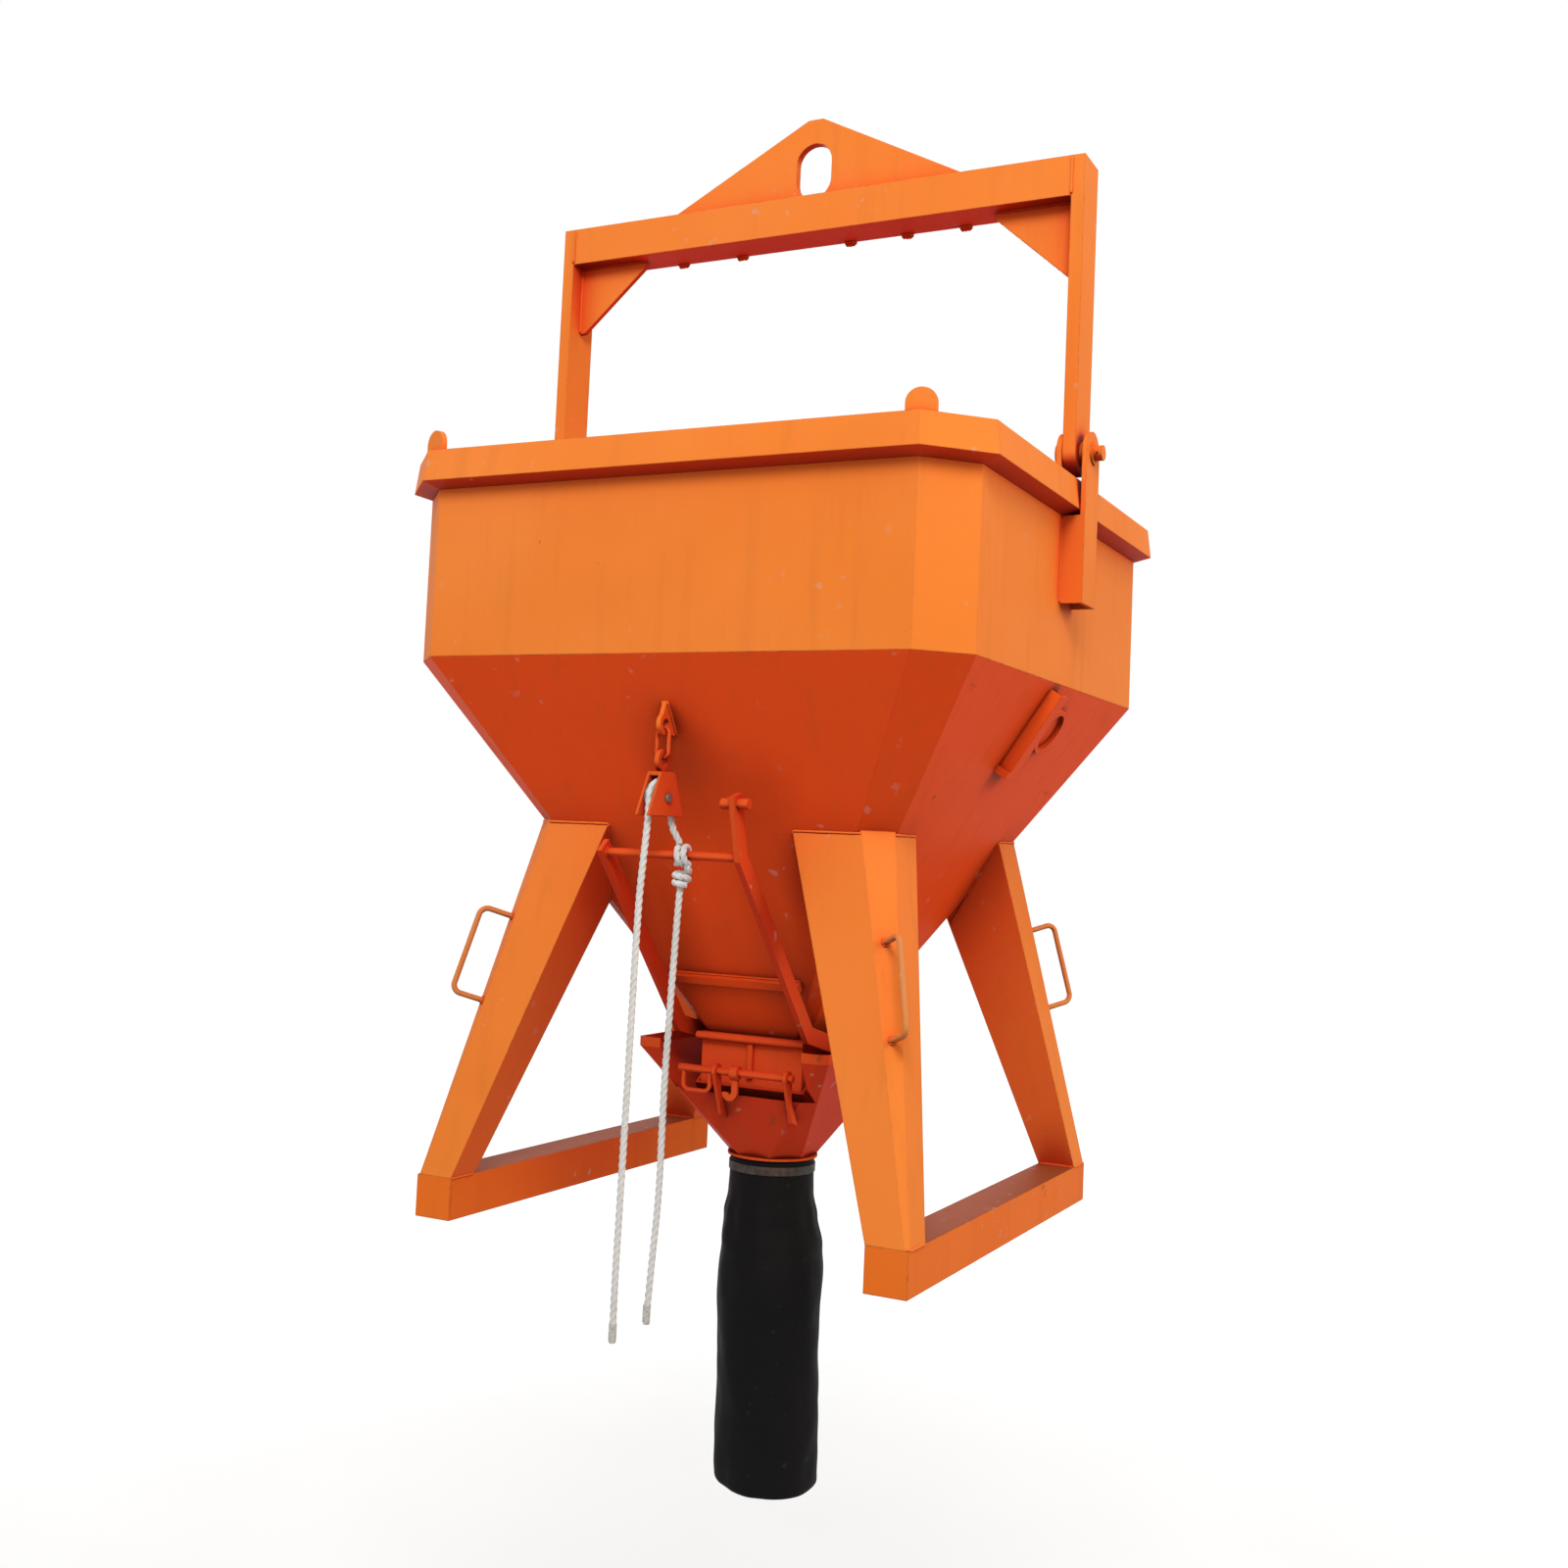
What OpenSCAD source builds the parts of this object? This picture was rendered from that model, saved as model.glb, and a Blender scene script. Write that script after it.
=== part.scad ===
// Concrete bucket with a bail, four legs, a lever gate and a discharge hose.
// The origin is where the crane hook bears, at the top of the slot in the lifting plate.
// X runs along the bail, the lever and its ropes are at the front (-Y), and Z is up.

/* [Box] */
// Width of the box across its side walls
body_w = 1250; // [1150:10:1350]
// Depth of the box across its front and rear walls
body_d = 1220; // [1120:10:1320]
// Leg of the slanting cut at each corner of the box
corner_cut = 90; // [60:1:120]
// Height of the box from its fold to the top of the rim
box_h = 425; // [380:5:480]
// Thickness of the box and cone plates
wall_t = 5; // [4:1:7]

/* [Cone] */
// Height of the cone below the fold
cone_h = 767; // [700:1:840]
// Width and depth of the outlet, outside
outlet_w = 244; // [220:1:270]
// Leg of the slanting cut at each corner of the outlet
outlet_cut = 18; // [10:1:30]

/* [Rim] */
// Height of the rim's outer face
rim_h = 65; // [50:1:80]
// How far the rim stands out from the wall at its lower edge
rim_out = 37; // [30:1:45]
// How far the rim's face leans in towards its top
rim_lean = 8; // [2:1:12]
// How far the rim's underside slopes down to the wall
rim_drop = 12; // [6:1:20]
// Thickness of the rim's folded plate
rim_t = 4; // [3:1:5]
// Width of a rim lug
lug_w = 60; // [40:1:70]
// Height of a rim lug above the rim
lug_h = 45; // [35:1:48]
// Thickness of a rim lug
lug_t = 12; // [8:1:16]

/* [Bail] */
// Height of the bail from the pins to the top of the beam
bail_h = 627; // [560:1:700]
// Thickness of a bail arm, across the bucket
bail_arm_t = 28; // [20:1:34]
// Depth of a bail arm, front to rear
bail_arm_d = 95; // [80:1:110]
// Height of the bail beam
beam_h = 86; // [70:1:100]
// Depth of the bail beam, front to rear
beam_d = 95; // [80:1:110]
// Wall of the bail beam
beam_t = 6; // [4:1:10]
// Width of the lifting plate along the beam
plate_w = 780; // [650:5:900]
// Thickness of the lifting plate
plate_t = 20; // [15:1:30]
// Flat at the top of the lifting plate
plate_nose = 36; // [20:1:60]
// Width of the hook slot
slot_w = 88; // [70:1:100]
// Height of the hook slot
slot_h = 128; // [110:1:150]
// How far the slot stays above the beam
slot_lift = 6; // [4:1:20]
// Plate left above the slot
slot_cover = 57; // [45:1:80]
// Length of a gusset along the beam
gusset_w = 180; // [120:1:220]
// Length of a gusset down the arm
gusset_h = 160; // [120:1:200]
// Thickness of a gusset
gusset_t = 12; // [8:1:16]
// Blunt end of a gusset
gusset_nose = 14; // [8:1:20]

/* [Bail pivot] */
// Radius of a bail pin
pin_r = 16; // [12:1:20]
// Height of the pins above the rim
pin_up = 60; // [56:1:75]
// Wall of the bush in the foot of a bail arm
bush_t = 6; // [4:1:8]
// Thickness of an inner ear
ear_t = 12; // [8:1:14]
// Gap between an inner ear and the bail arm
arm_gap = 2; // [1:0.5:4]
// Width of a bail bracket, front to rear
bracket_w = 90; // [80:1:100]
// Thickness of a bail bracket's web
bracket_t = 10; // [8:1:14]
// Thickness of a bail bracket's flanges
bracket_flange_t = 8; // [6:1:10]
// How far a bail bracket reaches down from the top of the rim
bracket_drop = 260; // [200:5:320]

/* [Legs] */
// Height from the feet to the fold
stand_h = 1151; // [1100:1:1220]
// How far below the fold the legs start
leg_drop = 327; // [280:1:360]
// Width over the feet
feet_w = 1094; // [1000:2:1180]
// Depth over the feet
feet_d = 1078; // [980:2:1160]
// Width of a leg's front face at its top, beside the nose
leg_front_top = 148; // [120:1:170]
// Depth of a leg's side face at its top, behind the nose
leg_side_top = 106; // [90:1:130]
// Depth of a leg's side face at its foot
leg_side_foot = 72; // [60:1:90]
// Leg of the slanting nose at a leg's top
leg_cut_top = 50; // [30:1:58]
// Leg of the slanting nose at a leg's foot
leg_cut_foot = 8; // [4:1:20]
// Thickness of a leg's plates
leg_t = 6; // [4:1:8]
// Width and height of a foot rail
foot_w = 85; // [70:1:100]
// Wall of a foot rail
foot_t = 5; // [4:1:8]

/* [Grab handles] */
// Length of a grab handle along its leg
handle_len = 185; // [150:1:220]
// How far a grab handle stands off its leg
handle_out = 68; // [55:1:80]
// Radius of the handle bar
handle_r = 6; // [5:0.5:8]
// Radius of the bends, at the middle of the bar
handle_bend = 18; // [14:1:24]
// Distance of a handle's middle below the top of its leg
handle_drop = 293; // [250:1:340]

/* [Gate] */
// Distance of the gate's pivot below the outlet
pivot_drop = 23; // [18:1:30]
// Inner radius of the gate sector
gate_r = 152; // [146:1:158]
// Thickness of the gate sector
gate_t = 6; // [4:1:8]
// Gap between the neck and the gate
gate_gap = 2; // [1:0.5:3]
// Half the angle of the gate sector, in degrees
gate_half = 56; // [54:1:60]
// Thickness of a gate cheek
cheek_t = 6; // [4:1:8]
// Radius of a trunnion pin
trunnion_r = 12.5; // [10:0.5:15]
// Outer radius of a gate hub
hub_r = 24; // [20:1:28]
// Length of a gate hub
hub_len = 17.5; // [16:0.5:20]
// Thickness of a lever arm
lever_t = 12; // [8:1:14]
// Width of a lever arm
lever_w = 36; // [28:1:38]
// Radius of the lever's crossbar
crossbar_r = 9; // [7:0.5:11]
// Radius of the lever's grip
grip_r = 11; // [9:0.5:14]
// Length of the lever's grip
grip_len = 60; // [40:1:90]

/* [Funnel] */
// Width and depth of the funnel's mouth
funnel_w = 450; // [435:1:480]
// Height of the upright collar round the mouth
collar_h = 20; // [16:1:30]
// Distance of the mouth below the outlet
funnel_drop = 13; // [8:1:18]
// Height of the funnel below its collar
funnel_h = 230; // [225:1:260]
// Leg of the slanting cut at each corner of the mouth
funnel_cut = 12; // [6:1:20]
// How far the front wall is cut down from the mouth
front_cut = 110; // [105:1:120]
// Thickness of the funnel's plate
funnel_t = 4; // [3:1:5]
// Width of a hanger
hanger_w = 120; // [90:1:140]
// Thickness of a hanger
hanger_t = 8; // [6:1:10]

/* [Hose] */
// Outer radius of the spigot that holds the hose
spigot_r = 86; // [75:1:92]
// Wall of the spigot
spigot_t = 4; // [3:1:5]
// Length of the spigot
spigot_len = 100; // [80:1:120]
// Outer radius of the hose below the spigot
hose_r = 112; // [104:1:120]
// Wall of the hose
hose_t = 6; // [4:1:8]
// Length of the hose
hose_len = 700; // [600:5:800]
// Width of the hose clamp
clamp_w = 18; // [14:1:24]
// Thickness of the hose clamp
clamp_t = 2.5; // [2:0.5:4]

/* [Latch] */
// Radius of the latch shaft
latch_r = 8; // [6:0.5:9]
// Half the length of the latch shaft
latch_half = 136; // [132:1:139]
// Radius of the rod of the loop handle
loop_r = 5; // [4:0.5:6]
// Drop of the loop handle below the shaft
loop_drop = 46; // [36:1:55]
// Width of the loop handle
loop_w = 64; // [56:1:68]

/* [Pulley block] */
// Radius at the middle of the rope on the sheave
sheave_r = 33; // [28:1:38]
// Width of the sheave
sheave_w = 20; // [18:1:22]
// Radius of the sheave pin
sheave_pin_r = 8; // [6:0.5:10]
// Diameter of the ropes
rope_d = 14; // [10:0.5:14]
// Turn of the block about its swivel, in degrees
block_turn = 80; // [60:1:90]

/* [Hidden] */
$fn = 64;

// How far each cut runs past the face it opens
overrun = 1;
// Radial clearance of a pin that turns in its hole
run_gap = 0.05;
// Gap between a washer and what it faces
washer_gap = 0.4;
// Gap between soft or hanging pieces and what carries them
seat_gap = 0.3;
// Step of the places of the corners that plates are bent at
grid = 0.5;

// Paint, steel, rubber and rope
paint = "#E8772E";
deep_paint = "#C9501F";
steel = "#A8A8A6";
black_rubber = "#1C1B1C";
white_rope = "#EDEBE4";

// Heights, from the hook's seat down
beam_top_z = -(slot_h + slot_lift);
pin_z = beam_top_z - bail_h;
rim_top_z = pin_z - pin_up;
fold_z = rim_top_z - box_h;
outlet_z = fold_z - cone_h;
foot_z = fold_z - stand_h;
pivot_z = outlet_z - pivot_drop;
mouth_z = outlet_z - funnel_drop;
funnel_end_z = mouth_z - collar_h - funnel_h;

// Slopes of the cone and the skin that its plates take, measured level
side_run = (body_w - outlet_w) / 2;
front_run = (body_d - outlet_w) / 2;
side_slope = atan(side_run / cone_h);
front_slope = atan(front_run / cone_h);
cone_skin = wall_t / cos(side_slope);

// An octagon grows by its sides, and its corner cuts grow by this share. It is also the share of
// half the width that makes the octagon regular
cut_share = 2 - sqrt(2);

// Stations across the bail pivot, from the middle of the bucket
ear_in_x = body_w / 2 - wall_t - ear_t;
arm_in_x = body_w / 2 - wall_t + arm_gap;
arm_out_x = arm_in_x + bail_arm_t;
// Gap between the rim and the web of a bail bracket
rim_gap = 2;
web_in_x = body_w / 2 + rim_out + rim_gap;
web_out_x = web_in_x + bracket_t;
// Head of a bail pin, its washer and its split pin
pin_head_r = 24;
pin_head_t = 10;
washer_t = 4;
washer_rim = 9;
cotter_r = 3;
cotter_in = 9;
cotter_over = 9;
pin_end = 9;
pin_end_x = web_out_x + washer_t + cotter_in + pin_end;
// How far an inner ear reaches down the wall
ear_drop = 95;

// Legs: where they meet the cone, how far they run on into it before it trims them, and their length
leg_top_z = fold_z - leg_drop;
leg_top_u = body_w / 2 - leg_drop * side_run / cone_h;
leg_top_v = body_d / 2 - leg_drop * front_run / cone_h;
leg_tuck = 20;
leg_len = stand_h - leg_drop - foot_w;
// Share of the way down a leg where its handle sits
handle_share = handle_drop / leg_len;

// Stations across the gate, from the middle of the bucket
neck_x = outlet_w / 2;
// Gap between the neck and a gate cheek
cheek_gap = 2.5;
cheek_x = neck_x + cheek_gap;
hub_x = cheek_x + cheek_t;
lever_x = hub_x + hub_len;
lever_out_x = lever_x + lever_t;
trunnion_washer_t = 3;
trunnion_washer_rim = 8;
trunnion_cotter_r = 2.5;
trunnion_cotter_in = 7;
trunnion_end = 7;
trunnion_end_x = lever_out_x + washer_gap + trunnion_washer_t + trunnion_cotter_in + trunnion_end;
// How far from the pivot a lever arm's bar starts, inside its hub
lever_root = 15;
// Corners of the lever arms, forward of the pivot and above it
knee_out = 168;
knee_up = 40;
bar_out = 500;
bar_up = 405;
tip_out = 530;
tip_up = 508;
// Where the crossbar lies
bar_y = -bar_out;
bar_z = pivot_z + bar_up;

// Funnel: half the flats of its round end, and its slope
funnel_end_land = 2;
funnel_end_half = spigot_r + funnel_end_land;
funnel_run = funnel_w / 2 - funnel_end_half;
funnel_slope = atan(funnel_run / funnel_h);
funnel_skin = funnel_t / cos(funnel_slope);
spigot_flange_t = 5;
spigot_flange_w = 13;
// Room for the lowered lever arms in the front of the funnel: beside them and behind the front wall
arm_side_gap = 8;
arm_relief = 24;
front_edge_z = mouth_z - front_cut;
front_edge_y = -(funnel_w / 2 - (front_cut - collar_h) * funnel_run / funnel_h);

// Hose: its top, its tight stretch on the spigot, the flare and bulge below it and where it settles
hose_top_z = funnel_end_z - spigot_flange_t - seat_gap;
hose_tight = 80;
hose_flare = 160;
hose_bulge = 5;
hose_settle = 120;
hose_in_r = spigot_r + seat_gap;
// Clamp round the hose
clamp_below = 22;
clamp_ear_w = 26;
clamp_ear_h = 16;
clamp_ear_t = 4;
clamp_split = 8;
clamp_bolt_r = 4;
clamp_bolt_len = 40;
clamp_nut_r = 8;
clamp_nut_t = 6;

// Latch shaft, in front of the funnel's front edge
latch_fore = 20;
latch_rise = 50;
latch_y = front_edge_y - latch_fore;
latch_z = front_edge_z + latch_rise;

// Pad eye, chain link and swivel eye that carry the block
eye_drop = 120;
eye_t = 10;
eye_up = 24;
eye_rim = 11;
eye_hole_r = 11;
eye_half = 40;
eye_y = -(body_d / 2 - eye_drop * front_run / cone_h) - eye_up * cos(front_slope);
eye_z = fold_z - eye_drop - eye_up * sin(front_slope);
link_r = 4;
link_bend = 13;
link_len = 34;
// How much the inside of a link's bend drops across the eye that it passes through
link_in_r = link_bend - link_r;
link_sag = link_in_r - sqrt(link_in_r * link_in_r - eye_t * eye_t / 4);
link_seat = eye_hole_r - link_r - link_sag - seat_gap;
link_top_z = eye_z - link_seat;
link_low_z = link_top_z - link_len - 2 * link_bend;
swivel_z = link_low_z - link_seat;
rope_r = rope_d / 2;
// Gap over the rope under the block's crown
crown_gap = 2;
crown_t = 8;
crown_up = sheave_r + rope_r + crown_gap;
// Radius of the swivel's shank in the crown
shank_r = 6;
sheave_z = swivel_z - eye_hole_r - eye_rim - crown_t - crown_up;
block_plate_t = 6;
block_gap = 24;
block_low = 36;
block_low_half = 52;
block_top_half = 20;
sheave_rim = 3;
groove_gap = 0.6;
sheave_pin_over = 6;

// Opening rope: its loop round the crossbar and its knot
loop_gap = 0.4;
loop_mid_r = crossbar_r + loop_gap + rope_r;
knot_r = 15;
rope_loop_x = 25;
rope_sides = 8;

// Where the closing rope leaves the sheave to the rear, from its tie on the crossbar
tail_dx = sheave_r * cos(block_turn) - rope_loop_x;
tail_dy = eye_y + sheave_r * sin(block_turn) - bar_y;
tail_turn = atan2(tail_dy, tail_dx);
tail_run = sqrt(tail_dx * tail_dx + tail_dy * tail_dy);

// Points along the closing rope's free strand, in the block's own plane, from the sheave's middle
rope_close_route = [
    [-62, -1024], [-62, -960], [-62, -890], [-60.5, -820], [-59, -750], [-57.5, -680], [-56, -610],
    [-54.5, -540], [-53.5, -470], [-52, -400], [-51, -330], [-49.5, -260], [-47, -190], [-41, -120],
    [-35, -60], [-33, -20]
];
// Turn of the plane that the opening rope hangs in, in degrees
open_turn = 40;
// Points along the opening rope, in that plane, from the crossbar
rope_open_route = [
    [-28, -900], [-25, -830], [-21, -760], [-17, -690], [-15, -620], [-15, -550], [-15, -480],
    [-14, -410], [-12, -340], [-10, -270], [-8, -210], [-6, -150], [-4, -100], [-2, -65], [0, -38]
];
// Points along the closing rope's tail, as a share of its run to the sheave and a height over the crossbar
rope_tail_route = [[0.27, 22], [0.39, 31], [0.76, 49], [0.97, 73], [1, 93]];

// Rounds a corner's place to the grid, so that the faces between rings stay flat
function snap(v) = round(v / grid) * grid;

// A ring of eight points: a rectangle with its corners cut
function oct(z, w, d, c) =
    let (u = snap(w / 2), v = snap(d / 2), k = snap(c)) [
        [u - k, -v, z], [u, -v + k, z], [u, v - k, z], [u - k, v, z],
        [-u + k, v, z], [-u, v - k, z], [-u, -v + k, z], [-u + k, -v, z]
    ];

// The box's octagon, grown on all sides
function box_oct(z, grow) =
    oct(z, body_w + 2 * grow, body_d + 2 * grow, corner_cut + grow * cut_share);

// The outlet's octagon, grown on all sides
function outlet_oct(z, grow) =
    oct(z, outlet_w + 2 * grow, outlet_w + 2 * grow, outlet_cut + grow * cut_share);

// A solid through convex rings of points, each with as many points, from the lowest up
module loft(rings) {
    n = len(rings[0]);
    last = (len(rings) - 1) * n;
    ends = [[for (i = [0 : n - 1]) i], [for (i = [n - 1 : -1 : 0]) last + i]];
    sides = [
        for (k = [0 : len(rings) - 2], i = [0 : n - 1])
            let (a = k * n + i, b = k * n + (i + 1) % n)
            each [[a, a + n, b + n], [a, b + n, b]]
    ];
    polyhedron(points = [for (r = rings) for (p = r) p], faces = concat(ends, sides));
}

// Direction of a route at one of its points
function along(route, i) =
    let (a = route[max(i - 1, 0)], b = route[min(i + 1, len(route) - 1)], d = b - a) d / norm(d);

// A round tube along a route of points in the XZ plane
module tube_along(route, r, sides) {
    loft([
        for (i = [0 : len(route) - 1])
            let (t = along(route, i))
            [for (s = [0 : sides - 1])
                let (a = s * 360 / sides)
                [route[i][0] + r * cos(a) * t[1], r * sin(a), route[i][1] - r * cos(a) * t[0]]]
    ]);
}

// Extrudes an outline drawn in Y and Z along X, from x
module side_plate(x, t) {
    translate([x, 0, 0])
        rotate([90, 0, 90])
            linear_extrude(t)
                children();
}

// Extrudes an outline drawn in X and Z, centred on the middle plane
module face_plate(t) {
    rotate([90, 0, 0])
        linear_extrude(t, center = true)
            children();
}

// A round bar along X
module bar_x(x, y, z, r, length) {
    translate([x, y, z])
        rotate([0, 90, 0])
            cylinder(h = length, r = r);
}

// A ring along X
module ring_x(x, y, z, r_in, r_out, length) {
    translate([x, y, z])
        rotate([0, 90, 0])
            difference() {
                cylinder(h = length, r = r_out);
                translate([0, 0, -overrun])
                    cylinder(h = length + 2 * overrun, r = r_in);
            }
}

// A quarter or half bend of round bar in the XZ plane
module bend(mid_r, r, angle) {
    rotate([90, 0, 0])
        rotate_extrude(angle = angle)
            translate([mid_r, 0])
                circle(r);
}

// Draws a piece on the right and its mirror image on the left
module both_sides() {
    children();
    mirror([1, 0, 0])
        children();
}

// Stands a piece on the front slope, with its own Z out of the plate and its Y up the slope
module on_front_slope(drop) {
    translate([0, -(body_d / 2 - drop * front_run / cone_h), fold_z - drop])
        rotate([90 + front_slope, 0, 0])
            children();
}

// Stands a piece on the right slope, with its own Z out of the plate and its X down the slope
module on_right_slope(drop, y) {
    translate([body_w / 2 - drop * side_run / cone_h, y, fold_z - drop])
        rotate([0, 90 + side_slope, 0])
            children();
}

// Bail

module lifting_plate() {
    color(paint)
        face_plate(plate_t)
            difference() {
                polygon([
                    [-plate_w / 2, beam_top_z], [plate_w / 2, beam_top_z],
                    [plate_nose / 2, slot_cover], [-plate_nose / 2, slot_cover]
                ]);
                translate([0, -slot_w / 2])
                    circle(slot_w / 2);
                translate([0, slot_w / 2 - slot_h])
                    circle(slot_w / 2);
                translate([-slot_w / 2, slot_w / 2 - slot_h])
                    square([slot_w, slot_h - slot_w]);
            }
}

module bail_beam() {
    color(paint)
        translate([-arm_in_x, -beam_d / 2, beam_top_z - beam_h])
            difference() {
                cube([2 * arm_in_x, beam_d, beam_h]);
                translate([-overrun, beam_t, beam_t])
                    cube([2 * (arm_in_x + overrun), beam_d - 2 * beam_t, beam_h - 2 * beam_t]);
            }
}

module bail_arm() {
    color(paint)
        side_plate(arm_in_x, bail_arm_t)
            difference() {
                union() {
                    translate([0, pin_z])
                        circle(bail_arm_d / 2);
                    translate([-bail_arm_d / 2, pin_z])
                        square([bail_arm_d, bail_h]);
                }
                translate([0, pin_z])
                    circle(pin_r + run_gap + bush_t);
            }
}

module bail_arm_right() {
    bail_arm();
}

module bail_arm_left() {
    mirror([1, 0, 0])
        bail_arm();
}

module gussets() {
    corner_z = beam_top_z - beam_h;
    color(paint)
        both_sides()
            face_plate(gusset_t)
                polygon([
                    [arm_in_x, corner_z], [arm_in_x - gusset_w, corner_z],
                    [arm_in_x - gusset_w, corner_z - gusset_nose],
                    [arm_in_x - gusset_nose, corner_z - gusset_h], [arm_in_x, corner_z - gusset_h]
                ]);
}

module bail_bushes() {
    color(steel)
        both_sides()
            ring_x(arm_in_x, 0, pin_z, pin_r + run_gap, pin_r + run_gap + bush_t, bail_arm_t);
}

// Box, cone and rim

module upper_box() {
    color(paint)
        difference() {
            loft([box_oct(fold_z, 0), box_oct(rim_top_z, 0)]);
            loft([box_oct(fold_z - overrun, -wall_t), box_oct(rim_top_z + overrun, -wall_t)]);
        }
}

module hopper_cone() {
    color(deep_paint)
        difference() {
            loft([outlet_oct(outlet_z, 0), box_oct(fold_z, 0)]);
            loft([outlet_oct(outlet_z, -cone_skin), box_oct(fold_z, -cone_skin)]);
        }
}

module rim_channel() {
    edge_z = rim_top_z - rim_h;
    wall_z = edge_z - rim_drop;
    color(paint)
        difference() {
            union() {
                loft([box_oct(wall_z, 0), box_oct(edge_z, rim_out)]);
                loft([box_oct(edge_z, rim_out), box_oct(rim_top_z, rim_out - rim_lean)]);
            }
            loft([box_oct(wall_z - overrun, 0), box_oct(rim_top_z + overrun, 0)]);
            loft([
                box_oct(wall_z + rim_t, 0), box_oct(edge_z + rim_t, rim_out - rim_t),
                box_oct(rim_top_z - rim_t, rim_out - rim_lean - rim_t)
            ]);
        }
}

module rim_lugs() {
    middle = (rim_out - rim_lean) / 2;
    lug_x = body_w / 2 + middle - corner_cut - middle * cut_share;
    lug_y = body_d / 2 + middle - lug_t / 2;
    half_fold = 22.5;
    color(paint)
        for (sx = [-1, 1], sy = [-1, 1])
            translate([sx * lug_x, sy * lug_y, rim_top_z])
                rotate(-sx * sy * half_fold)
                    face_plate(lug_t) {
                        translate([-lug_w / 2, 0])
                            square([lug_w, lug_h - lug_w / 2]);
                        intersection() {
                            translate([0, lug_h - lug_w / 2])
                                circle(lug_w / 2);
                            translate([-lug_w / 2, 0])
                                square([lug_w, lug_h]);
                        }
                    }
}

// Bail pivots

module bail_bracket() {
    low_z = rim_top_z - bracket_drop;
    under_rim_z = rim_top_z - rim_h - rim_drop;
    color(paint) {
        side_plate(web_in_x, bracket_t)
            difference() {
                union() {
                    translate([0, pin_z])
                        circle(bracket_w / 2);
                    translate([-bracket_w / 2, low_z])
                        square([bracket_w, pin_z - low_z]);
                }
                translate([0, pin_z])
                    circle(pin_r + run_gap);
            }
        for (y = [-bracket_w / 2, bracket_w / 2 - bracket_flange_t])
            translate([body_w / 2, y, low_z])
                cube([web_in_x - body_w / 2, bracket_flange_t, under_rim_z - low_z]);
    }
}

module bail_bracket_right() {
    bail_bracket();
}

module bail_bracket_left() {
    mirror([1, 0, 0])
        bail_bracket();
}

module inner_ears() {
    color(paint)
        both_sides()
            side_plate(ear_in_x, ear_t)
                difference() {
                    union() {
                        translate([0, pin_z])
                            circle(bracket_w / 2);
                        translate([-bracket_w / 2, rim_top_z - ear_drop])
                            square([bracket_w, pin_z - rim_top_z + ear_drop]);
                    }
                    translate([0, pin_z])
                        circle(pin_r + run_gap);
                }
}

module bail_pins() {
    color(steel)
        both_sides()
            difference() {
                union() {
                    bar_x(ear_in_x - pin_head_t, 0, pin_z, pin_head_r, pin_head_t);
                    bar_x(ear_in_x, 0, pin_z, pin_r, pin_end_x - ear_in_x);
                }
                translate([web_out_x + washer_t + cotter_in, 0, pin_z])
                    rotate([90, 0, 0])
                        cylinder(h = 2 * pin_r + 2 * overrun, r = cotter_r, center = true);
            }
}

module pin_washers() {
    hole_r = pin_r + run_gap;
    color(steel)
        both_sides() {
            ring_x(web_out_x, 0, pin_z, hole_r, pin_r + washer_rim, washer_t);
            ring_x(arm_out_x + washer_gap, 0, pin_z, hole_r, pin_r + washer_rim,
                web_in_x - arm_out_x - 2 * washer_gap);
        }
}

module pin_cotters() {
    color(steel)
        both_sides()
            translate([web_out_x + washer_t + cotter_in, 0, pin_z])
                rotate([90, 0, 0])
                    cylinder(h = 2 * (pin_r + cotter_over), r = cotter_r, center = true);
}

// Legs and feet

// A size of a leg a share of the way down it
function down_leg(share, top, foot) = top + share * (foot - top);

// Plan of a leg a share of the way down it, shrunk on all sides. Its foot is as wide as its rail
function leg_ring(share, shrink) =
    let (
        z = leg_top_z - share * leg_len,
        u = snap(down_leg(share, leg_top_u, feet_w / 2) - shrink),
        v = snap(down_leg(share, leg_top_v, feet_d / 2) - shrink),
        cut = snap(down_leg(share, leg_cut_top, leg_cut_foot) - shrink * cut_share),
        top_a = leg_top_u - leg_cut_top - leg_front_top,
        top_d = leg_top_v - leg_cut_top - leg_side_top,
        a = snap(down_leg(share, top_a, feet_w / 2 - foot_w) + shrink),
        d = snap(down_leg(share, top_d, feet_d / 2 - leg_cut_foot - leg_side_foot) + shrink)
    ) [[a, -v, z], [u - cut, -v, z], [u, -v + cut, z], [u, -d, z], [a, -d, z]];

module leg() {
    tuck_share = leg_tuck / leg_len;
    over_share = overrun / leg_len;
    color(paint)
        difference() {
            loft([leg_ring(1, 0), leg_ring(-tuck_share, 0)]);
            loft([leg_ring(1 + over_share, leg_t), leg_ring(-tuck_share - over_share, leg_t)]);
            loft([outlet_oct(outlet_z, 0), box_oct(fold_z, 0)]);
        }
}

module leg_front_right() {
    leg();
}

module leg_front_left() {
    mirror([1, 0, 0])
        leg();
}

module leg_rear_right() {
    mirror([0, 1, 0])
        leg();
}

module leg_rear_left() {
    mirror([0, 1, 0])
        mirror([1, 0, 0])
            leg();
}

module foot_rail() {
    color(paint)
        translate([feet_w / 2 - foot_w, -feet_d / 2 + foot_t, foot_z])
            difference() {
                cube([foot_w, feet_d - 2 * foot_t, foot_w]);
                translate([foot_t, -overrun, foot_t])
                    cube([foot_w - 2 * foot_t, feet_d + 2 * overrun, foot_w - 2 * foot_t]);
            }
}

module foot_rail_right() {
    foot_rail();
}

module foot_rail_left() {
    mirror([1, 0, 0])
        foot_rail();
}

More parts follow.
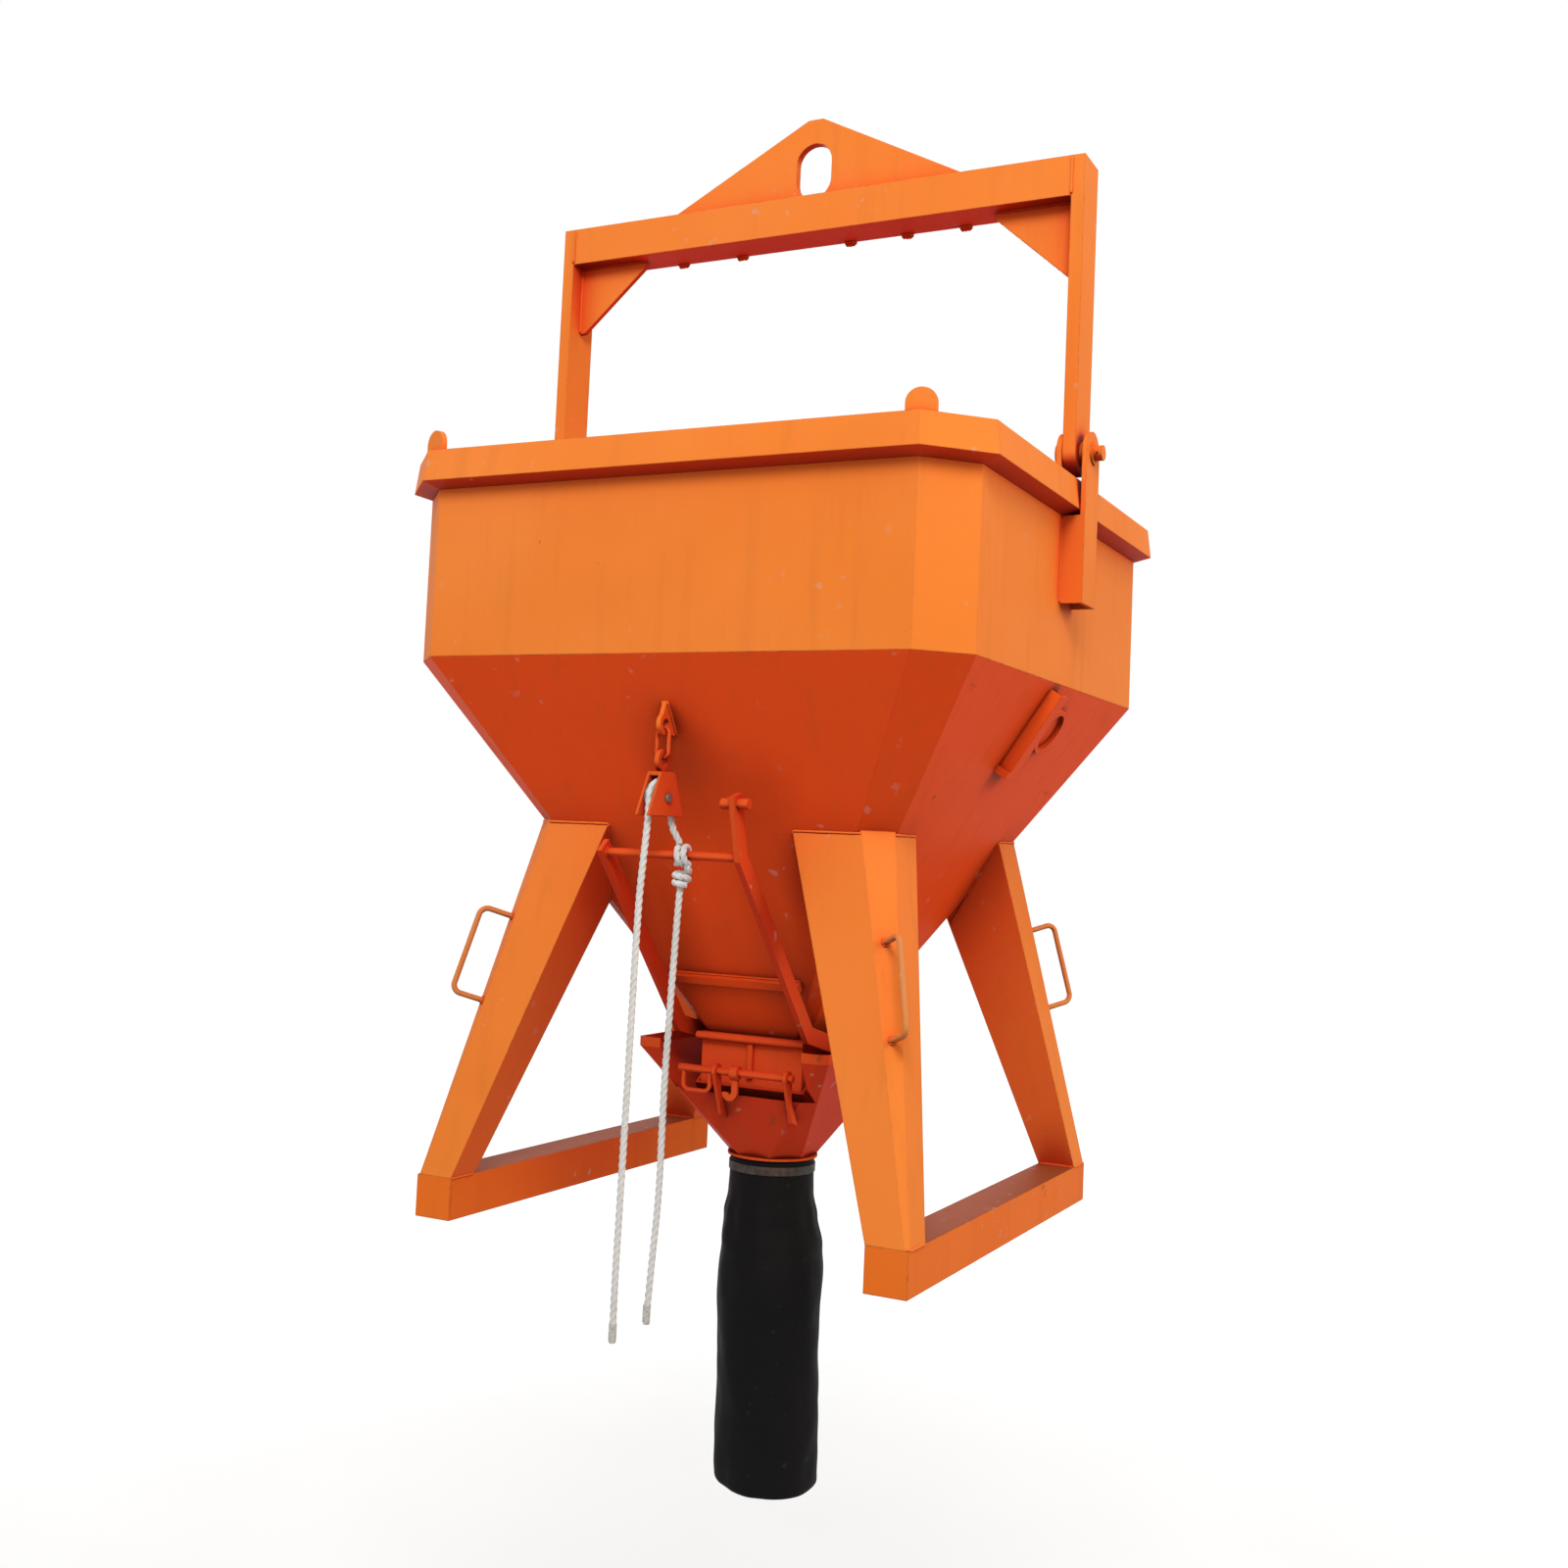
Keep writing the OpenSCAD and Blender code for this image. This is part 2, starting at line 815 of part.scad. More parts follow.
module foot_caps() {
    color(paint)
        both_sides()
            for (y = [-feet_d / 2, feet_d / 2 - foot_t])
                translate([feet_w / 2 - foot_w, y, foot_z])
                    cube([foot_w, foot_t, foot_w]);
}

// Grab handle, in its own XZ plane
module handle() {
    half = handle_len / 2;
    for (side = [0, 1])
        mirror([0, 0, side]) {
            translate([0, 0, half])
                rotate([0, 90, 0])
                    cylinder(h = handle_out - handle_bend, r = handle_r);
            translate([handle_out - handle_bend, 0, half - handle_bend])
                bend(handle_bend, handle_r, 90);
            translate([handle_out, 0, 0])
                cylinder(h = half - handle_bend, r = handle_r);
        }
}

module grab_handles() {
    cut = leg_cut_top + handle_share * (leg_cut_foot - leg_cut_top);
    nose_x = leg_top_u + handle_share * (feet_w / 2 - leg_top_u) - cut / 2;
    nose_y = leg_top_v + handle_share * (feet_d / 2 - leg_top_v) - cut / 2;
    spread = (feet_w / 2 - leg_top_u + feet_d / 2 - leg_top_v + leg_cut_top - leg_cut_foot) / sqrt(2);
    tilt = atan(spread / leg_len);
    color(paint)
        for (sx = [-1, 1], sy = [-1, 1])
            translate([sx * nose_x, sy * nose_y, leg_top_z - handle_drop])
                rotate([0, 0, atan2(sy, sx)])
                    rotate([0, -tilt, 0])
                        handle();
}

// Fittings on the slopes

module vibrator_rail() {
    rail_drop = 92;
    rail_y = -30;
    rail_len = 190;
    rail_w = 44;
    rail_h = 28;
    rail_t = 5;
    foot_over = 12;
    foot_len = 16;
    color(deep_paint)
        on_right_slope(rail_drop, rail_y) {
            difference() {
                translate([-rail_len / 2, -rail_w / 2, 0])
                    cube([rail_len, rail_w, rail_h]);
                translate([-rail_len / 2 - overrun, rail_t - rail_w / 2, -overrun])
                    cube([rail_len + 2 * overrun, rail_w - 2 * rail_t, rail_h - rail_t + overrun]);
            }
            translate([rail_len / 2, -rail_w / 2 - foot_over, 0])
                cube([foot_len, rail_w + 2 * foot_over, rail_h]);
        }
}

module vibrator_seat() {
    seat_drop = 87;
    seat_y = 84;
    seat_r = 54;
    seat_ring = 11;
    seat_h = 10;
    color(deep_paint)
        on_right_slope(seat_drop, seat_y)
            difference() {
                cylinder(h = seat_h, r = seat_r);
                translate([0, 0, -overrun])
                    cylinder(h = seat_h + 2 * overrun, r = seat_r - seat_ring);
            }
}

module front_band() {
    band_drop = 645;
    band_w = 300;
    band_h = 18;
    band_t = 14;
    color(paint)
        on_front_slope(band_drop)
            translate([-band_w / 2, -band_h / 2, 0])
                cube([band_w, band_h, band_t]);
}

module pad_eye() {
    color(deep_paint)
        on_front_slope(eye_drop)
            side_plate(-eye_t / 2, eye_t)
                difference() {
                    union() {
                        translate([0, eye_up])
                            circle(eye_hole_r + eye_rim);
                        polygon([
                            [-eye_half, 0], [eye_half, 0],
                            [eye_hole_r + eye_rim, eye_up], [-eye_hole_r - eye_rim, eye_up]
                        ]);
                    }
                    translate([0, eye_up])
                        circle(eye_hole_r);
                    translate([-eye_half, -eye_half])
                        square([2 * eye_half, eye_half]);
                }
}

// Outlet

module outlet_neck() {
    reach = gate_r + pivot_drop;
    color(deep_paint)
        intersection() {
            difference() {
                translate([-neck_x, -neck_x, outlet_z - reach])
                    cube([outlet_w, outlet_w, reach]);
                translate([wall_t - neck_x, wall_t - neck_x, outlet_z - reach - overrun])
                    cube([outlet_w - 2 * wall_t, outlet_w - 2 * wall_t, reach + 2 * overrun]);
            }
            bar_x(-neck_x - overrun, 0, pivot_z, gate_r - gate_gap, outlet_w + 2 * overrun);
        }
}

module neck_bar() {
    bar_r = 9;
    bar_over = 8;
    rib_w = 12;
    rib_h = 82;
    color(paint) {
        bar_x(-neck_x - bar_over, -neck_x - bar_r, outlet_z - bar_r, bar_r, outlet_w + 2 * bar_over);
        translate([-rib_w / 2, -neck_x - bar_r, outlet_z - bar_r - rib_h])
            cube([rib_w, bar_r, rib_h]);
    }
}

module trunnion_pins() {
    color(steel)
        both_sides()
            difference() {
                bar_x(neck_x, 0, pivot_z, trunnion_r, trunnion_end_x - neck_x);
                translate([trunnion_end_x - trunnion_end, 0, pivot_z])
                    rotate([90, 0, 0])
                        cylinder(h = 2 * trunnion_r + 2 * overrun, r = trunnion_cotter_r, center = true);
            }
}

module trunnion_washers() {
    color(steel)
        both_sides()
            ring_x(lever_out_x + washer_gap, 0, pivot_z, trunnion_r + run_gap,
                trunnion_r + trunnion_washer_rim, trunnion_washer_t);
}

module trunnion_cotters() {
    over = 7;
    color(steel)
        both_sides()
            translate([trunnion_end_x - trunnion_end, 0, pivot_z])
                rotate([90, 0, 0])
                    cylinder(h = 2 * (trunnion_r + over), r = trunnion_cotter_r, center = true);
}

// Funnel and hose

module funnel_hangers() {
    hanger_y = 32;
    top_in_z = fold_z - (body_w / 2 - funnel_w / 2) * cone_h / side_run;
    top_out_z = top_in_z + hanger_t * cone_h / side_run;
    color(deep_paint)
        both_sides()
            translate([0, hanger_y + hanger_w / 2, 0])
                face_plate(hanger_w)
                    polygon([
                        [funnel_w / 2, mouth_z - collar_h], [funnel_w / 2 + hanger_t, mouth_z - collar_h],
                        [funnel_w / 2 + hanger_t, top_out_z], [funnel_w / 2, top_in_z]
                    ]);
}

// The funnel's octagon at its mouth and at its round end, shrunk on all sides
function mouth_oct(z, shrink) =
    oct(z, funnel_w - 2 * shrink, funnel_w - 2 * shrink, funnel_cut);
function end_oct(z, shrink) =
    let (half = funnel_end_half - shrink) oct(z, 2 * half, 2 * half, half * cut_share);

module discharge_funnel() {
    neck_z = mouth_z - collar_h;
    notch_half = lever_out_x + arm_side_gap;
    cut_deep = funnel_w / 2 + front_edge_y + funnel_skin + arm_relief;
    color(deep_paint)
        difference() {
            loft([end_oct(funnel_end_z, 0), mouth_oct(neck_z, 0), mouth_oct(mouth_z, 0)]);
            loft([
                end_oct(funnel_end_z, funnel_skin), mouth_oct(neck_z, funnel_skin),
                mouth_oct(mouth_z + overrun, funnel_skin)
            ]);
            translate([-notch_half, -funnel_w / 2 - overrun, front_edge_z])
                cube([2 * notch_half, cut_deep + overrun, front_cut + overrun]);
        }
}

module spigot() {
    flange_r = spigot_r + spigot_flange_w;
    color(steel)
        translate([0, 0, funnel_end_z])
            difference() {
                union() {
                    translate([0, 0, -spigot_flange_t])
                        cylinder(h = spigot_flange_t, r = flange_r);
                    translate([0, 0, -spigot_len])
                        cylinder(h = spigot_len, r = spigot_r);
                }
                translate([0, 0, -spigot_len - overrun])
                    cylinder(h = spigot_len + 2 * overrun, r = spigot_r - spigot_t);
            }
}

// Outline of the hose's wall: tight on the spigot, bulging below it, then straight to a rolled lip
module hose() {
    lip = hose_t / 2;
    flare_z = -hose_tight - hose_flare;
    settle_z = flare_z - hose_settle;
    color(black_rubber)
        translate([0, 0, hose_top_z])
            rotate_extrude()
                polygon([
                    [hose_in_r, 0], [hose_in_r + hose_t, 0], [hose_in_r + hose_t, -hose_tight],
                    [hose_r + hose_bulge, flare_z], [hose_r, settle_z], [hose_r, lip - hose_len],
                    [hose_r - lip, -hose_len], [hose_r - hose_t, -hose_len], [hose_r - hose_t, settle_z],
                    [hose_r + hose_bulge - hose_t, flare_z], [hose_in_r, -hose_tight]
                ]);
}

module hose_clamp() {
    band_in = hose_in_r + hose_t + seat_gap;
    band_out = band_in + clamp_t;
    color(steel)
        translate([0, 0, hose_top_z - clamp_below])
            difference() {
                union() {
                    cylinder(h = clamp_w, r = band_out, center = true);
                    for (x = [-clamp_split / 2 - clamp_ear_t, clamp_split / 2])
                        translate([x, band_in, -clamp_ear_h / 2])
                            cube([clamp_ear_t, clamp_ear_w, clamp_ear_h]);
                }
                cylinder(h = clamp_w + 2 * overrun, r = band_in, center = true);
                translate([-clamp_split / 2, 0, -clamp_w])
                    cube([clamp_split, band_out + clamp_ear_w, 2 * clamp_w]);
                translate([0, band_out + clamp_ear_w / 2, 0])
                    rotate([0, 90, 0])
                        cylinder(h = clamp_bolt_len, r = clamp_bolt_r, center = true);
            }
}

module clamp_bolt() {
    band_out = hose_in_r + hose_t + seat_gap + clamp_t;
    face_x = clamp_split / 2 + clamp_ear_t;
    color(steel)
        translate([0, band_out + clamp_ear_w / 2, hose_top_z - clamp_below])
            rotate([0, 90, 0]) {
                cylinder(h = clamp_bolt_len, r = clamp_bolt_r, center = true);
                translate([0, 0, face_x])
                    cylinder(h = clamp_nut_t, r = clamp_nut_r, $fn = 6);
                translate([0, 0, -face_x - clamp_nut_t])
                    cylinder(h = clamp_nut_t, r = clamp_nut_r, $fn = 6);
            }
}

// Gate and lever

module gate_sector() {
    out_r = gate_r + gate_t;
    color(deep_paint)
        intersection() {
            ring_x(-hub_x, 0, pivot_z, gate_r, out_r, 2 * hub_x);
            side_plate(-hub_x, 2 * hub_x)
                polygon([
                    [0, pivot_z],
                    [-2 * out_r * sin(gate_half), pivot_z - 2 * out_r * cos(gate_half)],
                    [2 * out_r * sin(gate_half), pivot_z - 2 * out_r * cos(gate_half)]
                ]);
        }
}

module gate_cheeks() {
    color(deep_paint)
        both_sides()
            side_plate(cheek_x, cheek_t)
                difference() {
                    union() {
                        translate([0, pivot_z])
                            circle(hub_r);
                        intersection() {
                            translate([0, pivot_z])
                                circle(gate_r);
                            polygon([
                                [0, pivot_z],
                                [-2 * gate_r * sin(gate_half), pivot_z - 2 * gate_r * cos(gate_half)],
                                [2 * gate_r * sin(gate_half), pivot_z - 2 * gate_r * cos(gate_half)]
                            ]);
                        }
                    }
                    translate([0, pivot_z])
                        circle(trunnion_r + run_gap);
                }
}

module gate_hubs() {
    color(deep_paint)
        both_sides()
            ring_x(hub_x, 0, pivot_z, trunnion_r + run_gap, hub_r, hub_len);
}

// Outline of a lever arm in Y and Z: a hub, and a flat bar with mitred bends along the points
module lever_outline(ends) {
    n = len(ends);
    runs = [for (i = [1 : n - 1]) (ends[i] - ends[i - 1]) / norm(ends[i] - ends[i - 1])];
    across = [for (r = runs) [-r[1], r[0]]];
    mitres = [
        across[0],
        for (i = [1 : n - 2]) (across[i - 1] + across[i]) / (1 + across[i - 1] * across[i]),
        across[n - 2]
    ];
    middles = [
        ends[0] + runs[0] * lever_root,
        for (i = [1 : n - 2]) ends[i],
        ends[n - 1] + runs[n - 2] * lever_w / 2
    ];
    difference() {
        union() {
            translate(ends[0])
                circle(hub_r);
            polygon(concat(
                [for (i = [0 : n - 1]) middles[i] - mitres[i] * lever_w / 2],
                [for (i = [n - 1 : -1 : 0]) middles[i] + mitres[i] * lever_w / 2]
            ));
        }
        translate(ends[0])
            circle(trunnion_r + run_gap);
    }
}

pivot_end = [0, pivot_z];
knee_end = [-knee_out, pivot_z + knee_up];
bar_end = [bar_y, bar_z];
tip_end = [-tip_out, pivot_z + tip_up];

module lever_arm_left() {
    color(paint)
        side_plate(-lever_out_x, lever_t)
            lever_outline([pivot_end, knee_end, bar_end]);
}

module lever_arm_right() {
    color(paint)
        side_plate(lever_x, lever_t)
            difference() {
                lever_outline([pivot_end, knee_end, bar_end, tip_end]);
                translate(tip_end)
                    circle(grip_r);
            }
}

module lever_crossbar() {
    color(paint)
        bar_x(-lever_x, bar_y, bar_z, crossbar_r, 2 * lever_x);
}

module lever_grip() {
    color(paint)
        bar_x(lever_x + lever_t / 2 - grip_len / 2, tip_end[0], tip_end[1], grip_r, grip_len);
}

// Latch on the funnel's front

// Places of the two lugs along the shaft
lug_places = [-46, 122];
latch_lug_t = 8;
latch_lug_r = 16;

module latch_lugs() {
    up = latch_rise * cos(funnel_slope) + latch_fore * sin(funnel_slope);
    off = latch_fore * cos(funnel_slope) - latch_rise * sin(funnel_slope);
    foot_low = 62;
    foot_mid = 40;
    foot_off = 20;
    edge_gap = 3;
    color(deep_paint)
        translate([0, front_edge_y, front_edge_z])
            rotate([90 + funnel_slope, 0, 0])
                for (x = lug_places)
                    side_plate(x - latch_lug_t / 2, latch_lug_t)
                        difference() {
                            union() {
                                translate([up, off])
                                    circle(latch_lug_r);
                                polygon([
                                    [-foot_low, 0], [-foot_mid, foot_off], [up, off + latch_lug_r],
                                    [up, off - latch_lug_r], [edge_gap, 0]
                                ]);
                            }
                            translate([up, off])
                                circle(latch_r + run_gap);
                        }
}

module latch_shaft() {
    color(paint)
        bar_x(-latch_half, latch_y, latch_z, latch_r, 2 * latch_half);
}

module latch_hook() {
    knuckle_r = 15;
    knuckle_w = 18;
    shank_w = 14;
    shank_t = 8;
    shank_drop = 42;
    curl_r = 18;
    color(paint) {
        ring_x(-knuckle_w / 2, latch_y, latch_z, latch_r, knuckle_r, knuckle_w);
        translate([0, latch_y, latch_z])
            face_plate(shank_t)
                difference() {
                    union() {
                        translate([-shank_w / 2, -shank_drop])
                            square([shank_w, shank_drop]);
                        translate([shank_w / 2 - curl_r, -shank_drop])
                            intersection() {
                                difference() {
                                    circle(curl_r);
                                    circle(curl_r - shank_w);
                                }
                                translate([-curl_r, -curl_r])
                                    square([2 * curl_r, curl_r]);
                            }
                    }
                    translate([-shank_w, -latch_r])
                        square([2 * shank_w, 2 * latch_r]);
                }
    }
}

module latch_handle() {
    loop_x = -93;
    loop_bend = 14;
    half = loop_w / 2;
    color(paint)
        translate([loop_x, latch_y, latch_z])
            difference() {
                for (side = [0, 1])
                    mirror([side, 0, 0]) {
                        translate([half, 0, loop_bend - loop_drop])
                            cylinder(h = loop_drop - loop_bend, r = loop_r);
                        translate([half - loop_bend, 0, loop_bend - loop_drop])
                            mirror([0, 0, 1])
                                bend(loop_bend, loop_r, 90);
                        bar_x(0, 0, -loop_drop, loop_r, half - loop_bend);
                    }
                bar_x(-loop_w, 0, 0, latch_r, 2 * loop_w);
            }
}

// Pulley block

module chain_link() {
    color(steel)
        translate([0, eye_y, link_top_z - link_bend - link_len / 2])
            for (side = [0, 1])
                mirror([0, 0, side]) {
                    translate([0, 0, link_len / 2])
                        bend(link_bend, link_r, 180);
                    for (x = [-link_bend, link_bend])
                        translate([x, 0, 0])
                            cylinder(h = link_len / 2, r = link_r);
                }
}

// Places the block's own frame: its sheave's middle, turned about the swivel
module in_block() {
    translate([0, eye_y, sheave_z])
        rotate([0, 0, block_turn])
            children();
}

module swivel_eye() {
    eye_r = eye_hole_r + eye_rim;
    color(steel)
        translate([0, eye_y, swivel_z]) {
            side_plate(-eye_t / 2, eye_t)
                difference() {
                    circle(eye_r);
                    circle(eye_hole_r);
                }
            translate([0, 0, -eye_r - crown_t])
                cylinder(h = crown_t + eye_rim / 2, r = shank_r);
        }
}

module block_shell() {
    color(paint)
        in_block()
            difference() {
                union() {
                    for (y = [-1, 1])
                        translate([0, y * (block_gap + block_plate_t) / 2, 0])
                            face_plate(block_plate_t)
                                polygon([
                                    [-block_low_half, -block_low], [block_low_half, -block_low],
                                    [block_top_half, crown_up + crown_t], [-block_top_half, crown_up + crown_t]
                                ]);
                    translate([-block_top_half, -block_gap / 2, crown_up])
                        cube([2 * block_top_half, block_gap, crown_t]);
                }
                rotate([90, 0, 0])
                    cylinder(h = block_gap + 4 * block_plate_t, r = sheave_pin_r, center = true);
                translate([0, 0, crown_up - overrun])
                    cylinder(h = crown_t + 2 * overrun, r = shank_r + run_gap);
            }
}

module sheave_pin() {
    color(steel)
        in_block()
            rotate([90, 0, 0])
                cylinder(h = block_gap + 2 * (block_plate_t + sheave_pin_over), r = sheave_pin_r, center = true);
}

module sheave() {
    groove_r = rope_r + groove_gap;
    bore_r = sheave_pin_r + run_gap;
    color(steel)
        in_block()
            rotate([90, 0, 0])
                rotate_extrude()
                    difference() {
                        translate([bore_r, -sheave_w / 2])
                            square([sheave_r + sheave_rim - bore_r, sheave_w]);
                        translate([sheave_r, 0])
                            circle(groove_r);
                    }
}

// Ropes

module rope_close() {
    turns = [for (a = [180 : -15 : 0]) [sheave_r * cos(a), sheave_r * sin(a)]];
    fall = [[sheave_r, -rope_d]];
    color(white_rope)
        in_block()
            tube_along(concat(rope_close_route, turns, fall), rope_r, rope_sides);
}

module rope_tail() {
    color(white_rope)
        translate([rope_loop_x, bar_y, bar_z])
            rotate([0, 0, tail_turn])
                tube_along([for (p = rope_tail_route) [p[0] * tail_run, p[1]]], rope_r, rope_sides);
}

module rope_open() {
    color(white_rope)
        translate([rope_loop_x, bar_y, bar_z]) {
            rotate([0, 90, 0])
                rotate_extrude()
                    translate([loop_mid_r, 0])
                        circle(rope_r);
            translate([0, 0, -loop_mid_r - knot_r])
                sphere(knot_r);
            rotate([0, 0, open_turn])
                tube_along(rope_open_route, rope_r, rope_sides);
        }
}

lifting_plate();
bail_beam();
bail_arm_left();
bail_arm_right();
gussets();
bail_bushes();
upper_box();
hopper_cone();
rim_channel();
rim_lugs();
bail_bracket_left();
bail_bracket_right();
inner_ears();
bail_pins();
pin_washers();
pin_cotters();
leg_front_left();
leg_front_right();
leg_rear_left();
leg_rear_right();
foot_rail_left();
foot_rail_right();
foot_caps();
grab_handles();
vibrator_rail();
vibrator_seat();
front_band();
outlet_neck();
neck_bar();
trunnion_pins();
trunnion_washers();
trunnion_cotters();
funnel_hangers();
discharge_funnel();
spigot();
hose();
hose_clamp();
clamp_bolt();
gate_sector();
gate_cheeks();
gate_hubs();
lever_arm_left();
lever_arm_right();
lever_crossbar();
lever_grip();
latch_lugs();
latch_shaft();
latch_hook();
latch_handle();
pad_eye();
chain_link();
swivel_eye();
block_shell();
sheave_pin();
sheave();
rope_close();
rope_tail();
rope_open();
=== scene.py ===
import bpy
import math
from mathutils import Matrix, Vector, noise


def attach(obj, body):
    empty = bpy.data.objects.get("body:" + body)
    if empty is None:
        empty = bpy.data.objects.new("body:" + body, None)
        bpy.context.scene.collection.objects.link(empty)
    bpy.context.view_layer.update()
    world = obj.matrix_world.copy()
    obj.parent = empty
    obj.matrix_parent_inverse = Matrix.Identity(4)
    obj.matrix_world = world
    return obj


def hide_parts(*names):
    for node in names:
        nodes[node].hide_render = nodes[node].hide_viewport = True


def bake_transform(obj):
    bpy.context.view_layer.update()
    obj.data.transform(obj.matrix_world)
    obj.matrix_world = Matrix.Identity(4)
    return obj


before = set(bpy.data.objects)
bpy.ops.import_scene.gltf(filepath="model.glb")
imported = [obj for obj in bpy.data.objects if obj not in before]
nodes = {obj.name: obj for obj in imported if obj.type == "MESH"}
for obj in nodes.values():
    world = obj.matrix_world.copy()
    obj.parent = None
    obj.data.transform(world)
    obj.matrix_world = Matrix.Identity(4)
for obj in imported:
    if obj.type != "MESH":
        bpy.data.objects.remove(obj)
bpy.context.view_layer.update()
scene = bpy.context.scene
scene.view_settings.view_transform = "Standard"

# Camera: low in front of the bucket and to its right, as the photograph was taken, with a normal lens.
# The frame is shifted down a little, because the photograph was cropped that way.
turn, pitch, roll = math.radians(26.80), math.radians(3.606), math.radians(2.544)
ahead = Vector((-math.sin(turn) * math.cos(pitch), math.cos(turn) * math.cos(pitch), math.sin(pitch)))
level = Vector((math.cos(turn), math.sin(turn), 0))
above = level.cross(ahead)
side = level * math.cos(roll) + above * math.sin(roll)
top = above * math.cos(roll) - level * math.sin(roll)
lens = bpy.data.cameras.new("photo_camera")
lens.sensor_fit = "HORIZONTAL"
lens.sensor_width = 36
lens.lens = 38.381
lens.shift_y = -0.02678
lens.clip_end = 200
camera = bpy.data.objects.new("photo_camera", lens)
scene.collection.objects.link(camera)
camera.matrix_world = Matrix((
    (side.x, top.x, -ahead.x, 1.6716),
    (side.y, top.y, -ahead.y, -3.3427),
    (side.z, top.z, -ahead.z, -1.6069),
    (0, 0, 0, 1)))
scene.camera = camera

# Ropes: white three-strand rope of 14 mm. The closing rope runs over the sheave of the block and is tied
# to the crossbar, and the opening rope is tied to the crossbar with a round turn and two half hitches.
# The fibre is off-white and fuzzy, greyer in the grooves, and soiled where hands reach.
rope_diameter = 0.014


def smooth_route(points, step):
    """Points about a step apart on a smooth curve through the given ones."""
    given = [Vector(p) for p in points]
    ends = [given[0] * 2 - given[1]] + given + [given[-1] * 2 - given[-2]]
    fine = []
    for i in range(1, len(ends) - 2):
        a, b, c, d = ends[i - 1:i + 3]
        for k in range(24):
            t = k / 24
            fine.append(0.5 * (2 * b + (c - a) * t + (2 * a - 5 * b + 4 * c - d) * t * t
                               + (3 * b - a - 3 * c + d) * t ** 3))
    fine.append(given[-1])
    route, gone, due = [fine[0]], 0.0, step
    for a, b in zip(fine, fine[1:]):
        run = (b - a).length
        while run > 0 and gone + run >= due:
            route.append(a.lerp(b, (due - gone) / run))
            due += step
        gone += run
    if (route[-1] - fine[-1]).length < step * 0.4:
        route.pop()
    return route + [fine[-1]]


def frames_along(route):
    """A direction and two crosswise directions at each point, without twist."""
    found, across = [], None
    for i, p in enumerate(route):
        way = (route[min(i + 1, len(route) - 1)] - route[max(i - 1, 0)]).normalized()
        if across is None:
            across = way.orthogonal().normalized()
        across = (across - way * across.dot(way)).normalized()
        found.append((p, way, across, way.cross(across)))
    return found


def mesh_piece(name, points, faces):
    mesh = bpy.data.meshes.new(name)
    mesh.from_pydata([tuple(p) for p in points], [], faces)
    mesh.update()
    for face in mesh.polygons:
        face.use_smooth = True
    piece = bpy.data.objects.new(name, mesh)
    scene.collection.objects.link(piece)
    return piece


def tube_mesh(rings, closed_ends=True):
    """Points and faces of a tube through rings of as many points each."""
    n = len(rings[0])
    points = [p for ring in rings for p in ring]
    faces = [(k * n + i, k * n + (i + 1) % n, (k + 1) * n + (i + 1) % n, (k + 1) * n + i)
             for k in range(len(rings) - 1) for i in range(n)]
    if closed_ends:
        faces.append(tuple(range(n - 1, -1, -1)))
        faces.append(tuple((len(rings) - 1) * n + i for i in range(n)))
    return points, faces


def laid_rope(name, points, diameter=rope_diameter, lay=0.046, step=0.003):
    """A rope of three laid strands along the points."""
    corners, strand_middle, strand_square = 18, 0.536, 0.2154
    route = smooth_route(points, step)
    rings, gone = [], 0.0
    for i, (p, way, u, v) in enumerate(frames_along(route)):
        if i:
            gone += (route[i] - route[i - 1]).length
        ring = []
        for k in range(corners):
            a = math.tau * k / corners
            near = (a - math.tau * gone / lay) % (math.tau / 3) - math.tau / 6
            aside = strand_middle * math.sin(near)
            bulge = strand_middle * math.cos(near) + math.sqrt(max(strand_square - aside ** 2, 0))
            r = diameter / 2 * (0.42 + 0.58 * bulge)
            ring.append(p + (u * math.cos(a) + v * math.sin(a)) * r)
        rings.append(ring)
    return mesh_piece(name, *tube_mesh(rings)), route


block_turn = math.radians(80)
sheave_middle = Vector((0, -0.5539, -1.52125))
in_block = Vector((math.cos(block_turn), math.sin(block_turn), 0))
crossbar = Vector((0.025, -0.5, -1.631))
groove = 33

close_points = [(groove * math.cos(math.radians(a)), groove * math.sin(math.radians(a)))
                for a in range(0, 181, 15)]
close_points += [(-groove, -20), (-35, -60), (-41, -120), (-47, -190), (-49.5, -260), (-51, -330), (-52, -400),
                 (-53.5, -470), (-54.5, -540), (-56, -610), (-57.5, -680), (-59, -750), (-60.5, -820),
                 (-62, -890), (-62, -960), (-62, -1024)]
closing_rope, route = laid_rope("closing_rope", [
    sheave_middle + in_block * (x / 1000) + Vector((0, 0, z / 1000)) for x, z in close_points])
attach(closing_rope, "block")
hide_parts("rope_close")
close_end = route[-1]

run = sheave_middle + in_block * (groove / 1000) - crossbar
tail, route = laid_rope("closing_rope_tail", [
    crossbar + Vector((run.x * share, run.y * share, z / 1000)) for share, z in
    [(0.27, 22), (0.39, 31), (0.76, 49), (0.97, 73), (1, 95), (1, 109.5)]])
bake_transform(tail)
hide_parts("rope_tail")

